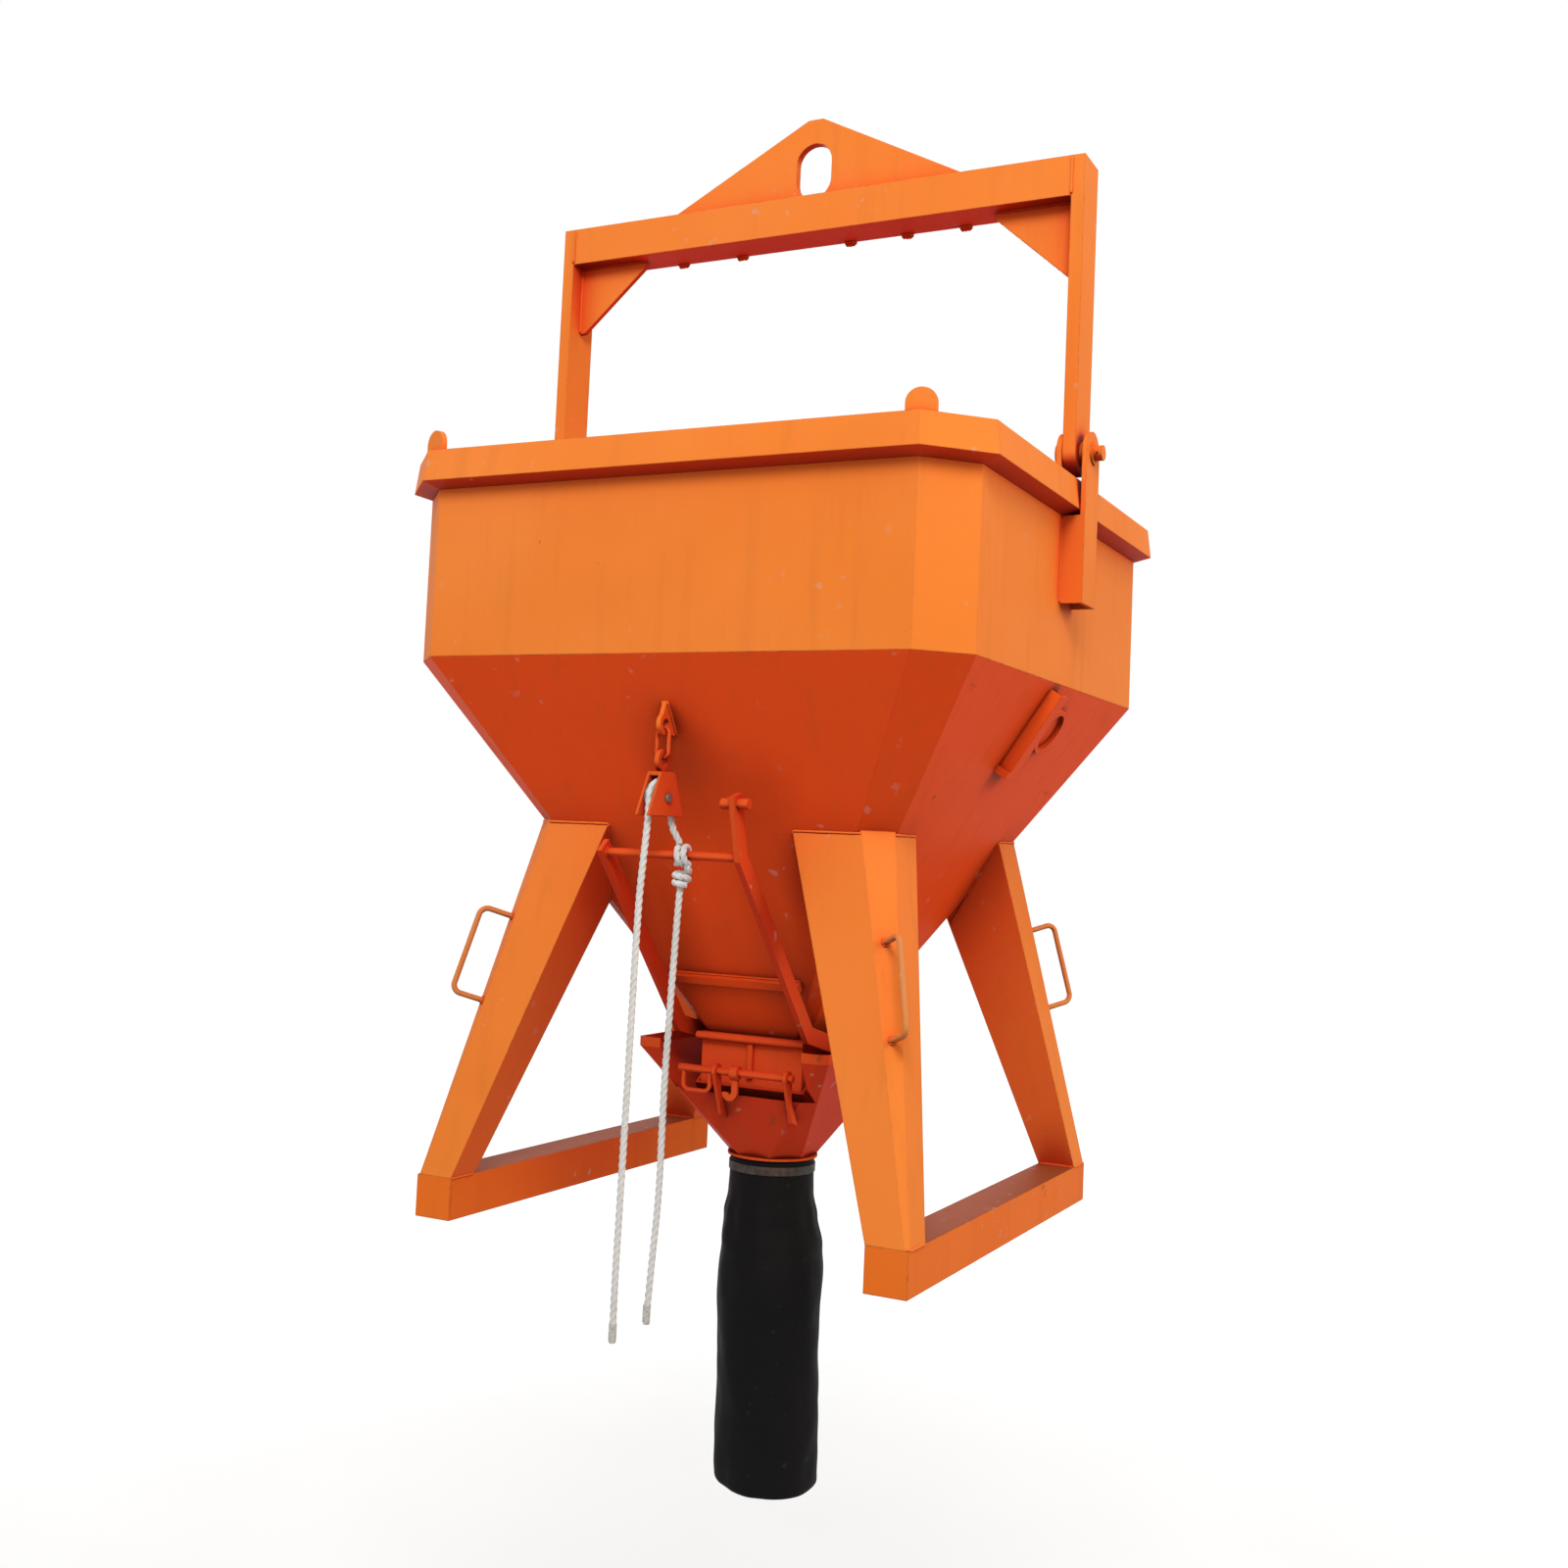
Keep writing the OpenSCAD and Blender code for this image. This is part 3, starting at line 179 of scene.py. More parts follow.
open_points = [(0, -38), (-2, -65), (-4, -100), (-6, -150), (-8, -210), (-10, -270), (-12, -340), (-14, -410),
               (-15, -480), (-15, -550), (-15, -620), (-17, -690), (-21, -760), (-25, -830), (-28, -900)]
open_turn = math.radians(40)
in_fall = Vector((math.cos(open_turn), math.sin(open_turn), 0))
opening_rope, route = laid_rope("opening_rope_fall", [
    crossbar + in_fall * (x / 1000) + Vector((0, 0, z / 1000)) for x, z in open_points])
open_end = route[-1]
turn_r, turn_half, hitch_r = 0.0166, 0.0145, 0.0132
turn_points = []
for k in range(37):
    a = math.radians(-90 + 20 * k)
    turn_points.append(crossbar + Vector((
        -turn_half + 2 * turn_half * k / 36, turn_r * math.cos(a), turn_r * math.sin(a))))
for k in range(1, 34):
    a = math.radians(-90 + 24 * k)
    fade = min(k / 6, 1)
    turn_points.append(crossbar + Vector((
        turn_half * (1 - fade) + hitch_r * fade * math.cos(a),
        hitch_r * fade * math.sin(a),
        -turn_r - 0.010 * fade - 0.00095 * k)))
hitches, _ = laid_rope("opening_rope_hitches", turn_points, diameter=0.0135, step=0.0025)
for piece in (opening_rope, hitches):
    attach(piece, "opening_rope")
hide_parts("rope_open")


def noise_mask(tree, coords, scale, detail, low, high, stretch=None):
    """A noise texture with its values between low and high spread over 0 to 1."""
    if stretch:
        mapping = tree.nodes.new("ShaderNodeMapping")
        mapping.inputs["Scale"].default_value = stretch
        tree.links.new(coords, mapping.inputs["Vector"])
        coords = mapping.outputs["Vector"]
    texture = tree.nodes.new("ShaderNodeTexNoise")
    texture.inputs["Scale"].default_value = scale
    texture.inputs["Detail"].default_value = detail
    tree.links.new(coords, texture.inputs["Vector"])
    spread = tree.nodes.new("ShaderNodeMapRange")
    spread.interpolation_type = "SMOOTHSTEP"
    spread.inputs["From Min"].default_value = low
    spread.inputs["From Max"].default_value = high
    tree.links.new(texture.outputs["Fac"], spread.inputs["Value"])
    return spread.outputs["Result"]


def sum_of(tree, operation, a, b):
    node = tree.nodes.new("ShaderNodeMath")
    node.operation = operation
    node.use_clamp = True
    for value, socket in ((a, node.inputs[0]), (b, node.inputs[1])):
        if isinstance(value, (int, float)):
            socket.default_value = value
        else:
            tree.links.new(value, socket)
    return node.outputs[0]


def blended(tree, factor, a, b):
    """Colour a where the factor is 0 and b where it is 1."""
    node = tree.nodes.new("ShaderNodeMix")
    node.data_type = "RGBA"
    tree.links.new(factor, node.inputs["Factor"])
    for value, socket in ((a, node.inputs[6]), (b, node.inputs[7])):
        if isinstance(value, tuple):
            socket.default_value = (*value, 1)
        else:
            tree.links.new(value, socket)
    return node.outputs[2]


fibre = bpy.data.materials.new("white_rope")
fibre.use_nodes = True
tree = fibre.node_tree
shader = tree.nodes["Principled BSDF"]
place = tree.nodes.new("ShaderNodeTexCoord").outputs["Object"]
soil = noise_mask(tree, place, 9, 6, 0.45, 0.80)
hairs = noise_mask(tree, place, 900, 3, 0.30, 0.70, (1, 1, 0.25))
tone = blended(tree, hairs, (0.80, 0.79, 0.765), (0.66, 0.64, 0.60))
tone = blended(tree, sum_of(tree, "MULTIPLY", soil, 0.35), tone, (0.42, 0.37, 0.31))
tree.links.new(tone, shader.inputs["Base Color"])
tree.links.new(sum_of(tree, "ADD", 0.72, sum_of(tree, "MULTIPLY", soil, 0.2)), shader.inputs["Roughness"])
shader.inputs["Sheen Weight"].default_value = 0.3
nap = tree.nodes.new("ShaderNodeBump")
nap.inputs["Strength"].default_value = 0.5
nap.inputs["Distance"].default_value = 0.0008
tree.links.new(hairs, nap.inputs["Height"])
tree.links.new(nap.outputs["Normal"], shader.inputs["Normal"])
for piece in (closing_rope, tail, opening_rope, hitches):
    piece.data.materials.append(fibre)

# Whippings: waxed twine, darker than the rope, wound tightly round the cut end of each rope
# so that its strands don't open.
def whipping(name, end, body):
    rings, corners = [], 20
    for k in range(41):
        z = end.z + 0.004 + 0.0008 * k
        r = 0.0074 + 0.0005 * math.sin(math.tau * k / 4)
        turns = [math.tau * i / corners for i in range(corners)]
        rings.append([(end.x + r * math.cos(a), end.y + r * math.sin(a), z) for a in turns])
    piece = mesh_piece(name, *tube_mesh(rings))
    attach(piece, body)
    return piece


whippings = [whipping("closing_rope_whipping", close_end, "block"),
             whipping("opening_rope_whipping", open_end, "opening_rope")]
twine = bpy.data.materials.new("whipping_twine")
twine.use_nodes = True
tree = twine.node_tree
shader = tree.nodes["Principled BSDF"]
place = tree.nodes.new("ShaderNodeTexCoord").outputs["Object"]
wax = noise_mask(tree, place, 260, 4, 0.35, 0.70)
tree.links.new(blended(tree, wax, (0.60, 0.58, 0.53), (0.40, 0.37, 0.32)), shader.inputs["Base Color"])
tree.links.new(sum_of(tree, "ADD", 0.5, sum_of(tree, "MULTIPLY", wax, 0.3)), shader.inputs["Roughness"])
for piece in whippings:
    piece.data.materials.append(twine)

# Hose: a matt black rubber discharge hose, pushed over the spigot and held by the band clamp. It bulges
# below the spigot, hangs nearly straight, and has soft creases and a folded end. The rubber carries a
# faint cloth print from its moulding, scuffs and a bloom of cement dust.
hose_top, hose_length, hose_wall = -2.2813, 0.7, 0.0055
profile = [(0, 0.0923), (0.012, 0.0926), (0.022, 0.0921), (0.034, 0.0926), (0.08, 0.0935), (0.13, 0.1015),
           (0.19, 0.112), (0.24, 0.1163), (0.29, 0.1152), (0.36, 0.1125), (0.46, 0.1118), (0.58, 0.1122),
           (0.66, 0.1118), (0.688, 0.1112), (0.6955, 0.1095), (0.7, 0.1062)]


def hose_radius(drop):
    for (d0, r0), (d1, r1) in zip(profile, profile[1:]):
        if drop <= d1:
            t = (drop - d0) / (d1 - d0)
            t = t * t * (3 - 2 * t)
            return r0 + (r1 - r0) * t
    return profile[-1][1]


def hose_point(drop, a, inward):
    loose = min(max((drop - 0.075) / 0.12, 0), 1)
    way = Vector((math.cos(a), math.sin(a), 0))
    folds = 0.0022 * math.sin(3 * a + 5 * drop) * loose + 0.0016 * math.sin(7 * a - 9 * drop) * loose
    pleats = 0.0016 * math.cos(14 * a) * max(0, 1 - abs(drop - 0.12) / 0.07)
    crease = 0.0045 * noise.noise(Vector((way.x * 1.2, way.y * 1.2, drop * 7.5 + 3))) * loose
    dimple = 0.003 * noise.noise(Vector((way.x * 3, way.y * 3, drop * 16))) * loose
    oval = 0.002 * math.cos(2 * a + 0.6) * loose
    r = hose_radius(drop) + folds + pleats + crease + dimple + oval - inward
    lean = 0.020 * loose * max(drop - 0.08, 0) / 0.62
    lip = 0.003 * (1 + math.sin(2 * a + 1)) * max(0, drop - 0.6) / 0.1
    return Vector((r * math.cos(a) + lean, r * math.sin(a), hose_top - drop + lip))


around = 96
drops = [hose_length * k / 140 for k in range(141)]
rings = [[hose_point(d, math.tau * i / around, 0) for i in range(around)] for d in drops]
rings += [[hose_point(d, math.tau * i / around, hose_wall) for i in range(around)] for d in reversed(drops[2:])]
points, faces = tube_mesh(rings, closed_ends=False)
last = (len(rings) - 1) * around
faces += [(last + i, last + (i + 1) % around, (i + 1) % around, i) for i in range(around)]
hose = mesh_piece("rubber_hose", points, faces)
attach(hose, "hopper")
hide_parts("hose")

rubber = bpy.data.materials.new("hose_rubber")
rubber.use_nodes = True
tree = rubber.node_tree
shader = tree.nodes["Principled BSDF"]
place = tree.nodes.new("ShaderNodeTexCoord").outputs["Object"]
dust = noise_mask(tree, place, 7, 8, 0.52, 0.82, (1, 1, 0.35))
scuff = noise_mask(tree, place, 34, 9, 0.64, 0.74)
tone = blended(tree, sum_of(tree, "MULTIPLY", dust, 0.5), (0.0055, 0.0050, 0.0052), (0.016, 0.0155, 0.015))
tone = blended(tree, sum_of(tree, "MULTIPLY", scuff, 0.35), tone, (0.040, 0.038, 0.036))
tree.links.new(tone, shader.inputs["Base Color"])
tree.links.new(sum_of(tree, "ADD", 0.62, sum_of(tree, "MULTIPLY", dust, 0.25)), shader.inputs["Roughness"])
shader.inputs["Specular IOR Level"].default_value = 0.07
print_of_cloth = tree.nodes.new("ShaderNodeTexWave")
print_of_cloth.bands_direction = "Z"
print_of_cloth.inputs["Scale"].default_value = 95
print_of_cloth.inputs["Distortion"].default_value = 1.5
tree.links.new(place, print_of_cloth.inputs["Vector"])
grain = tree.nodes.new("ShaderNodeBump")
grain.inputs["Strength"].default_value = 0.22
grain.inputs["Distance"].default_value = 0.0012
tree.links.new(print_of_cloth.outputs["Fac"], grain.inputs["Height"])
worn = tree.nodes.new("ShaderNodeBump")
worn.inputs["Strength"].default_value = 0.4
worn.inputs["Distance"].default_value = 0.002
tree.links.new(scuff, worn.inputs["Height"])
tree.links.new(grain.outputs["Normal"], worn.inputs["Normal"])
tree.links.new(worn.outputs["Normal"], shader.inputs["Normal"])
hose.data.materials.append(rubber)

# Weather and painted shade on the steel: worn edges, dirt streaks and cement splashes, and painted shade on
# undersides, on covered faces, in corners and on upward faces, as masks that each finish mixes with its own
# colours. All painted and bare steel on the bucket has stood on a site.
def new_group(name, inputs, outputs):
    group = bpy.data.node_groups.new(name, "ShaderNodeTree")
    for label, kind, value in inputs:
        socket = group.interface.new_socket(label, in_out="INPUT", socket_type=kind)
        socket.default_value = value
    for label, kind in outputs:
        group.interface.new_socket(label, in_out="OUTPUT", socket_type=kind)
    return group, group.nodes.new("NodeGroupInput"), group.nodes.new("NodeGroupOutput")


weather_and_shade, taken, given = new_group("site_weather_and_shade", [
    ("Wear", "NodeSocketFloat", 1.0), ("Dirt", "NodeSocketFloat", 1.0), ("Cement", "NodeSocketFloat", 1.0)], [
    ("Fade", "NodeSocketFloat"), ("Dirt", "NodeSocketFloat"), ("Cement", "NodeSocketFloat"),
    ("Chips", "NodeSocketFloat"), ("Under_Shade", "NodeSocketFloat"), ("Hollow_Shade", "NodeSocketFloat"),
    ("Top_Shade", "NodeSocketFloat"), ("Round", "NodeSocketVector")])
place = weather_and_shade.nodes.new("ShaderNodeTexCoord").outputs["Object"]
edge = weather_and_shade.nodes.new("ShaderNodeBevel")
edge.samples = 4
edge.inputs["Radius"].default_value = 0.004
plain = weather_and_shade.nodes.new("ShaderNodeNewGeometry")
match = weather_and_shade.nodes.new("ShaderNodeVectorMath")
match.operation = "DOT_PRODUCT"
weather_and_shade.links.new(edge.outputs["Normal"], match.inputs[0])
weather_and_shade.links.new(plain.outputs["Normal"], match.inputs[1])
sharp = sum_of(weather_and_shade, "MULTIPLY", sum_of(weather_and_shade, "SUBTRACT", 1.0, match.outputs["Value"]), 5.0)
rub = noise_mask(weather_and_shade, place, 46, 6, 0.50, 0.66)
spots = noise_mask(weather_and_shade, place, 19, 10, 0.735, 0.765)
chips = sum_of(weather_and_shade, "ADD", sum_of(weather_and_shade, "MULTIPLY", sharp, rub), sum_of(weather_and_shade, "MULTIPLY", spots, 0.8))
weather_and_shade.links.new(sum_of(weather_and_shade, "MULTIPLY", chips, taken.outputs["Wear"]), given.inputs["Chips"])
weather_and_shade.links.new(noise_mask(weather_and_shade, place, 2.1, 5, 0.30, 0.72), given.inputs["Fade"])
streaks = noise_mask(weather_and_shade, place, 5.5, 6, 0.50, 0.78, (5, 5, 0.42))
film = noise_mask(weather_and_shade, place, 3.2, 8, 0.44, 0.80)
weather_and_shade.links.new(sum_of(weather_and_shade, "MULTIPLY", sum_of(weather_and_shade, "ADD", sum_of(weather_and_shade, "MULTIPLY", streaks, 0.7),
                                                     sum_of(weather_and_shade, "MULTIPLY", film, 0.6)),
                         taken.outputs["Dirt"]), given.inputs["Dirt"])
splash = noise_mask(weather_and_shade, place, 30, 7, 0.66, 0.70)
where = noise_mask(weather_and_shade, place, 2.6, 3, 0.46, 0.62)
weather_and_shade.links.new(sum_of(weather_and_shade, "MULTIPLY", sum_of(weather_and_shade, "MULTIPLY", splash, where),
                         taken.outputs["Cement"]), given.inputs["Cement"])
weather_and_shade.links.new(edge.outputs["Normal"], given.inputs["Round"])
# Painted shade: faces turned down, and faces covered by other parts within 0.7 m, take a deeper red shade colour.
facing = weather_and_shade.nodes.new("ShaderNodeSeparateXYZ")
weather_and_shade.links.new(weather_and_shade.nodes.new("ShaderNodeTexCoord").outputs["Normal"], facing.inputs["Vector"])
under = weather_and_shade.nodes.new("ShaderNodeMapRange")
under.inputs["From Min"].default_value = -0.10
under.inputs["From Max"].default_value = -0.50
weather_and_shade.links.new(facing.outputs["Z"], under.inputs["Value"])
cover = weather_and_shade.nodes.new("ShaderNodeAmbientOcclusion")
cover.samples = 6
cover.inputs["Distance"].default_value = 0.7
hidden = weather_and_shade.nodes.new("ShaderNodeMapRange")
hidden.inputs["From Min"].default_value = 0.90
hidden.inputs["From Max"].default_value = 0.45
weather_and_shade.links.new(cover.outputs["AO"], hidden.inputs["Value"])
weather_and_shade.links.new(sum_of(weather_and_shade, "MAXIMUM", under.outputs["Result"], hidden.outputs["Result"]),
                  given.inputs["Under_Shade"])
# Painted shadow: a mask of the upward faces, which a paint darkens as much as it asks.
facing_up = weather_and_shade.nodes.new("ShaderNodeMapRange")
facing_up.inputs["From Min"].default_value = 0.55
facing_up.inputs["From Max"].default_value = 0.90
weather_and_shade.links.new(facing.outputs["Z"], facing_up.inputs["Value"])
weather_and_shade.links.new(facing_up.outputs["Result"], given.inputs["Top_Shade"])
# Painted shade: near black in tight corners and on undersides close under overhangs such as the rim.
corner = weather_and_shade.nodes.new("ShaderNodeAmbientOcclusion")
corner.samples = 6
corner.inputs["Distance"].default_value = 0.12
deep = weather_and_shade.nodes.new("ShaderNodeMapRange")
deep.inputs["From Min"].default_value = 0.38
deep.inputs["From Max"].default_value = 0.10
weather_and_shade.links.new(corner.outputs["AO"], deep.inputs["Value"])
eaves = weather_and_shade.nodes.new("ShaderNodeMapRange")
eaves.inputs["From Min"].default_value = 0.96
eaves.inputs["From Max"].default_value = 0.60
weather_and_shade.links.new(corner.outputs["AO"], eaves.inputs["Value"])
weather_and_shade.links.new(sum_of(weather_and_shade, "MAXIMUM", deep.outputs["Result"],
                         sum_of(weather_and_shade, "MULTIPLY", eaves.outputs["Result"], under.outputs["Result"])),
                  given.inputs["Hollow_Shade"])


def painted(name, colour, faded, shade_colour, wear=0.5, dirt=0.5, cement=0.4, top_shadow_share=0.0):
    """Semi-gloss paint on welded plate, with worn edges, dirt and cement splashes. It fades in the sun, and
    painted shade turns it a deeper red on undersides and on faces covered by other parts, and near black in
    corners and under overhangs. A darker painted shadow lies on its upward faces, as much as asked for."""
    rough, dark_shade, dirt_film = 0.50, (0.11, 0.010, 0.005), (0.30, 0.085, 0.025)
    top_shadow, rusty_metal, cement_grey = (0.20, 0.060, 0.024), (0.17, 0.060, 0.030), (0.52, 0.47, 0.40)
    material = bpy.data.materials.new(name)
    material.use_nodes = True
    tree = material.node_tree
    shader = tree.nodes["Principled BSDF"]
    marks = tree.nodes.new("ShaderNodeGroup")
    marks.node_tree = weather_and_shade
    marks.inputs["Wear"].default_value = wear
    marks.inputs["Dirt"].default_value = dirt
    marks.inputs["Cement"].default_value = cement
    place = tree.nodes.new("ShaderNodeTexCoord").outputs["Object"]
    tone = blended(tree, marks.outputs["Fade"], colour, faded)
    # Painted shade: a deeper red on undersides and covered faces.
    tone = blended(tree, marks.outputs["Under_Shade"], tone, shade_colour)
    # Painted shade: near black in corners and under the rim.
    tone = blended(tree, sum_of(tree, "MULTIPLY", marks.outputs["Hollow_Shade"], 0.85), tone, dark_shade)
    tone = blended(tree, sum_of(tree, "MULTIPLY", marks.outputs["Dirt"], 0.45), tone, dirt_film)
    # Painted shadow: a darker colour on upward faces, used on the feet under the bucket.
    tone = blended(tree, sum_of(tree, "MULTIPLY", marks.outputs["Top_Shade"], top_shadow_share), tone, top_shadow)
    tone = blended(tree, marks.outputs["Chips"], tone, rusty_metal)
    tone = blended(tree, marks.outputs["Cement"], tone, cement_grey)
    tree.links.new(tone, shader.inputs["Base Color"])
    gloss = sum_of(tree, "ADD", rough, sum_of(tree, "MULTIPLY", marks.outputs["Dirt"], 0.22))
    gloss = sum_of(tree, "ADD", gloss, sum_of(tree, "MULTIPLY", marks.outputs["Cement"], 0.40))
    gloss = sum_of(tree, "ADD", gloss, sum_of(tree, "MULTIPLY", marks.outputs["Chips"], 0.25))
    tree.links.new(gloss, shader.inputs["Roughness"])
    shader.inputs["Specular IOR Level"].default_value = 0.035
    peel = tree.nodes.new("ShaderNodeTexNoise")
    peel.inputs["Scale"].default_value = 240
    peel.inputs["Detail"].default_value = 2
    tree.links.new(place, peel.inputs["Vector"])
    dents = tree.nodes.new("ShaderNodeTexNoise")
    dents.inputs["Scale"].default_value = 2.4
    dents.inputs["Detail"].default_value = 1
    tree.links.new(place, dents.inputs["Vector"])
    rise = sum_of(tree, "ADD", sum_of(tree, "MULTIPLY", peel.outputs["Fac"], 0.035),
                  sum_of(tree, "MULTIPLY", marks.outputs["Cement"], 0.4))
    skin = tree.nodes.new("ShaderNodeBump")
    skin.inputs["Strength"].default_value = 0.5
    skin.inputs["Distance"].default_value = 0.002
    tree.links.new(rise, skin.inputs["Height"])
    tree.links.new(marks.outputs["Round"], skin.inputs["Normal"])
    plate = tree.nodes.new("ShaderNodeBump")
    plate.inputs["Strength"].default_value = 0.25
    plate.inputs["Distance"].default_value = 0.012
    tree.links.new(dents.outputs["Fac"], plate.inputs["Height"])
    tree.links.new(skin.outputs["Normal"], plate.inputs["Normal"])
    tree.links.new(plate.outputs["Normal"], shader.inputs["Normal"])
    return material


def dress(material, *names):
    """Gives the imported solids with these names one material."""
    for name in names:
        mesh = nodes[name].data
        mesh.materials.clear()
        mesh.materials.append(material)


# Box, rim, bail and legs: welded mild steel plate in safety-orange paint, a deeper red on its undersides as
# painted shade.
# The weld beads are rippled fillets under the paint, and short stitches hold the beam's lower edge.
# The third colour of each paint is its painted shade colour, for undersides and covered faces.
body_paint = painted("orange_paint_body", (0.85, 0.214, 0.030), (0.88, 0.240, 0.042), (0.80, 0.060, 0.014),
                     dirt=0.3, cement=0.25)
dress(body_paint, "upper_box", "rim_channel", "rim_lugs", "leg_front_left", "leg_front_right", "leg_rear_left",
      "leg_rear_right", "lifting_plate", "bail_beam", "bail_arm_left", "bail_arm_right", "gussets")


def bead(lines, radius):
    """Points and faces of rippled fillets along lines of points in millimetres."""
    points, faces, corners = [], [], 7
    for line in lines:
        line = [Vector(p) / 1000 for p in line]
        route = [line[0]]
        for a, b in zip(line, line[1:]):
            count = max(1, round((b - a).length / 0.004))
            route += [a.lerp(b, k / count) for k in range(1, count + 1)]
        rings = []
        for i, (p, way, u, v) in enumerate(frames_along(route)):
            swell = 0.82 + 0.14 * (i % 2) + 0.22 * noise.noise(p * 60)
            if i in (0, len(route) - 1):
                swell *= 0.5
            turns = [math.tau * k / corners for k in range(corners)]
            rings.append([p + (u * math.cos(a) + v * math.sin(a)) * radius * swell for a in turns])
        more, sides = tube_mesh(rings)
        faces += [tuple(len(points) + i for i in f) for f in sides]
        points += more
    return points, faces


def ring_line(middle, axis, radius, count=20):
    """Points round a circle, in millimetres, back to the first."""
    axis = Vector(axis).normalized()
    u = axis.orthogonal().normalized()
    v = axis.cross(u)
    turns = [math.tau * k / count for k in range(count + 1)]
    return [Vector(middle) + (u * math.cos(a) + v * math.sin(a)) * radius for a in turns]


plate_half, beam_top, beam_under, arm_face = 388, -134, -220, 622
bail_lines = []
for y in (-10, 10):
    bail_lines.append([(-plate_half, y, beam_top), (plate_half, y, beam_top)])
for s in (-1, 1):
    for y in (-6, 6):
        bail_lines.append([(s * 444, y, beam_under), (s * 621, y, beam_under), (s * 621, y, -378)])
    for y in (-47.5, 47.5):
        bail_lines.append([(s * arm_face, y, -137), (s * arm_face, y, -218)])
    bail_lines.append([(s * arm_face, -46, beam_under), (s * arm_face, -8, beam_under)])
    bail_lines.append([(s * arm_face, 8, beam_under), (s * arm_face, 46, beam_under)])
bail_beads = mesh_piece("weld_beads_bail", *bead(bail_lines, 0.004))
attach(bail_beads, "bail")

stitch_lines = []
for x in (-365, -205, 75, 215, 355):
    stitch_lines.append([(x - 14, 45.5, -221.5), (x + 14, 45.5, -221.5)])
stitches = mesh_piece("weld_stitches_beam", *bead(stitch_lines, 0.009))
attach(stitches, "bail")


def leg_size(share, at_top, at_foot):
    return at_top + share * (at_foot - at_top)


fold, leg_top, leg_fall, cap_top = -1246, -1573.5, 739, -2312
hopper_lines = []
for sx in (-1, 1):
    for sy in (-1, 1):
        hopper_lines.append([(sx * 212.5, sy * 402, leg_top), (sx * 360.5, sy * 402, leg_top)])
        hopper_lines.append([(sx * 410.5, sy * 352, leg_top), (sx * 410.5, sy * 246, leg_top)])
        inner, rear = [], []
        for k in range(60):
            drop = 327 + 5 * k
            share = (drop - 327) / leg_fall
            a, d = leg_size(share, 212.5, 462), leg_size(share, 246, 459)
            depth, width = 610 - drop * 0.63625, 625 - drop * 0.65580
            if depth > d:
                inner.append((sx * a, sy * depth, fold - drop))
            if width > a:
                rear.append((sx * width, sy * d, fold - drop))
        hopper_lines += [inner, rear]
        hopper_lines.append([(sx * 463, sy * 460, cap_top), (sx * 463, sy * 537, cap_top)])
        hopper_lines.append([(sx * 546, sy * 460, cap_top), (sx * 546, sy * 530, cap_top)])
        hopper_lines.append([(sx * 464, sy * 459, cap_top), (sx * 545, sy * 459, cap_top)])
    for y in (-45, 45):
        hopper_lines.append([(sx * 625, y, -1080), (sx * 625, y, -900)])
    for y in (-45, 45):
        hopper_lines.append([(sx * 620, y, -822), (sx * 620, y, -914)])
slope = Vector((0, -0.5369, 0.8437))
for x in (-5, 5):
    foot = Vector((x, -533.65, -1366))
    hopper_lines.append([foot - slope * 39, foot + slope * 39])
hopper_lines.append([(-149, -205, -1883), (149, -205, -1883)])
hopper_beads = mesh_piece("weld_beads_hopper", *bead(hopper_lines, 0.0038))
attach(hopper_beads, "hopper")
for piece in (bail_beads, stitches, hopper_beads):
    piece.data.materials.append(body_paint)

# Foot rails and caps: box-section rails that join the legs in pairs and carry the bucket on the ground.
# Their paint is a redder copy of the body paint as painted shade under the bucket, their edges are worn by the
# ground, and a darker painted shadow lies on their upward faces.
feet_paint = painted("orange_paint_feet_shaded", (0.84, 0.160, 0.016), (0.86, 0.180, 0.020), (0.80, 0.055, 0.012),
                     wear=0.6, dirt=0.35, top_shadow_share=0.85)
dress(feet_paint, "foot_rail_left", "foot_rail_right", "foot_caps")

# Bail brackets, ears and pins: channels and plates welded to the side walls, with turned pins through
# the bail's arms. They were painted over together with the box.
# The third colour, the painted shade colour, is less red here than on the box.
bracket_paint = painted("orange_paint_brackets", (0.84, 0.205, 0.028), (0.87, 0.230, 0.038), (0.80, 0.135, 0.020),
                        dirt=0.4)
dress(bracket_paint, "bail_bracket_left", "bail_bracket_right", "inner_ears", "bail_pins", "pin_washers",
      "pin_cotters")

# Cone and the fittings on its slopes: plate folded to a pyramid with cut corners and welded under the box.
# The paint is the same, but this copy is redder as painted shade for the downward slopes.
cone_paint = painted("orange_paint_cone_shaded", (0.82, 0.165, 0.021), (0.84, 0.185, 0.025), (0.86, 0.080, 0.012),
                     dirt=0.4, cement=0.25)
dress(cone_paint, "hopper_cone", "vibrator_rail", "vibrator_seat", "front_band", "pad_eye", "funnel_hangers")

# Outlet neck and its front bar: plate welded round the cone's mouth, above the gate.
# Its paint is a brighter, redder copy of the body paint: painted light on the neck, which lies in shade under the
# cone.
neck_paint = painted("orange_paint_neck_lit", (0.88, 0.125, 0.022), (0.90, 0.145, 0.026), (0.92, 0.082, 0.020),
                     dirt=0.4, cement=0.3)
dress(neck_paint, "outlet_neck", "neck_bar")

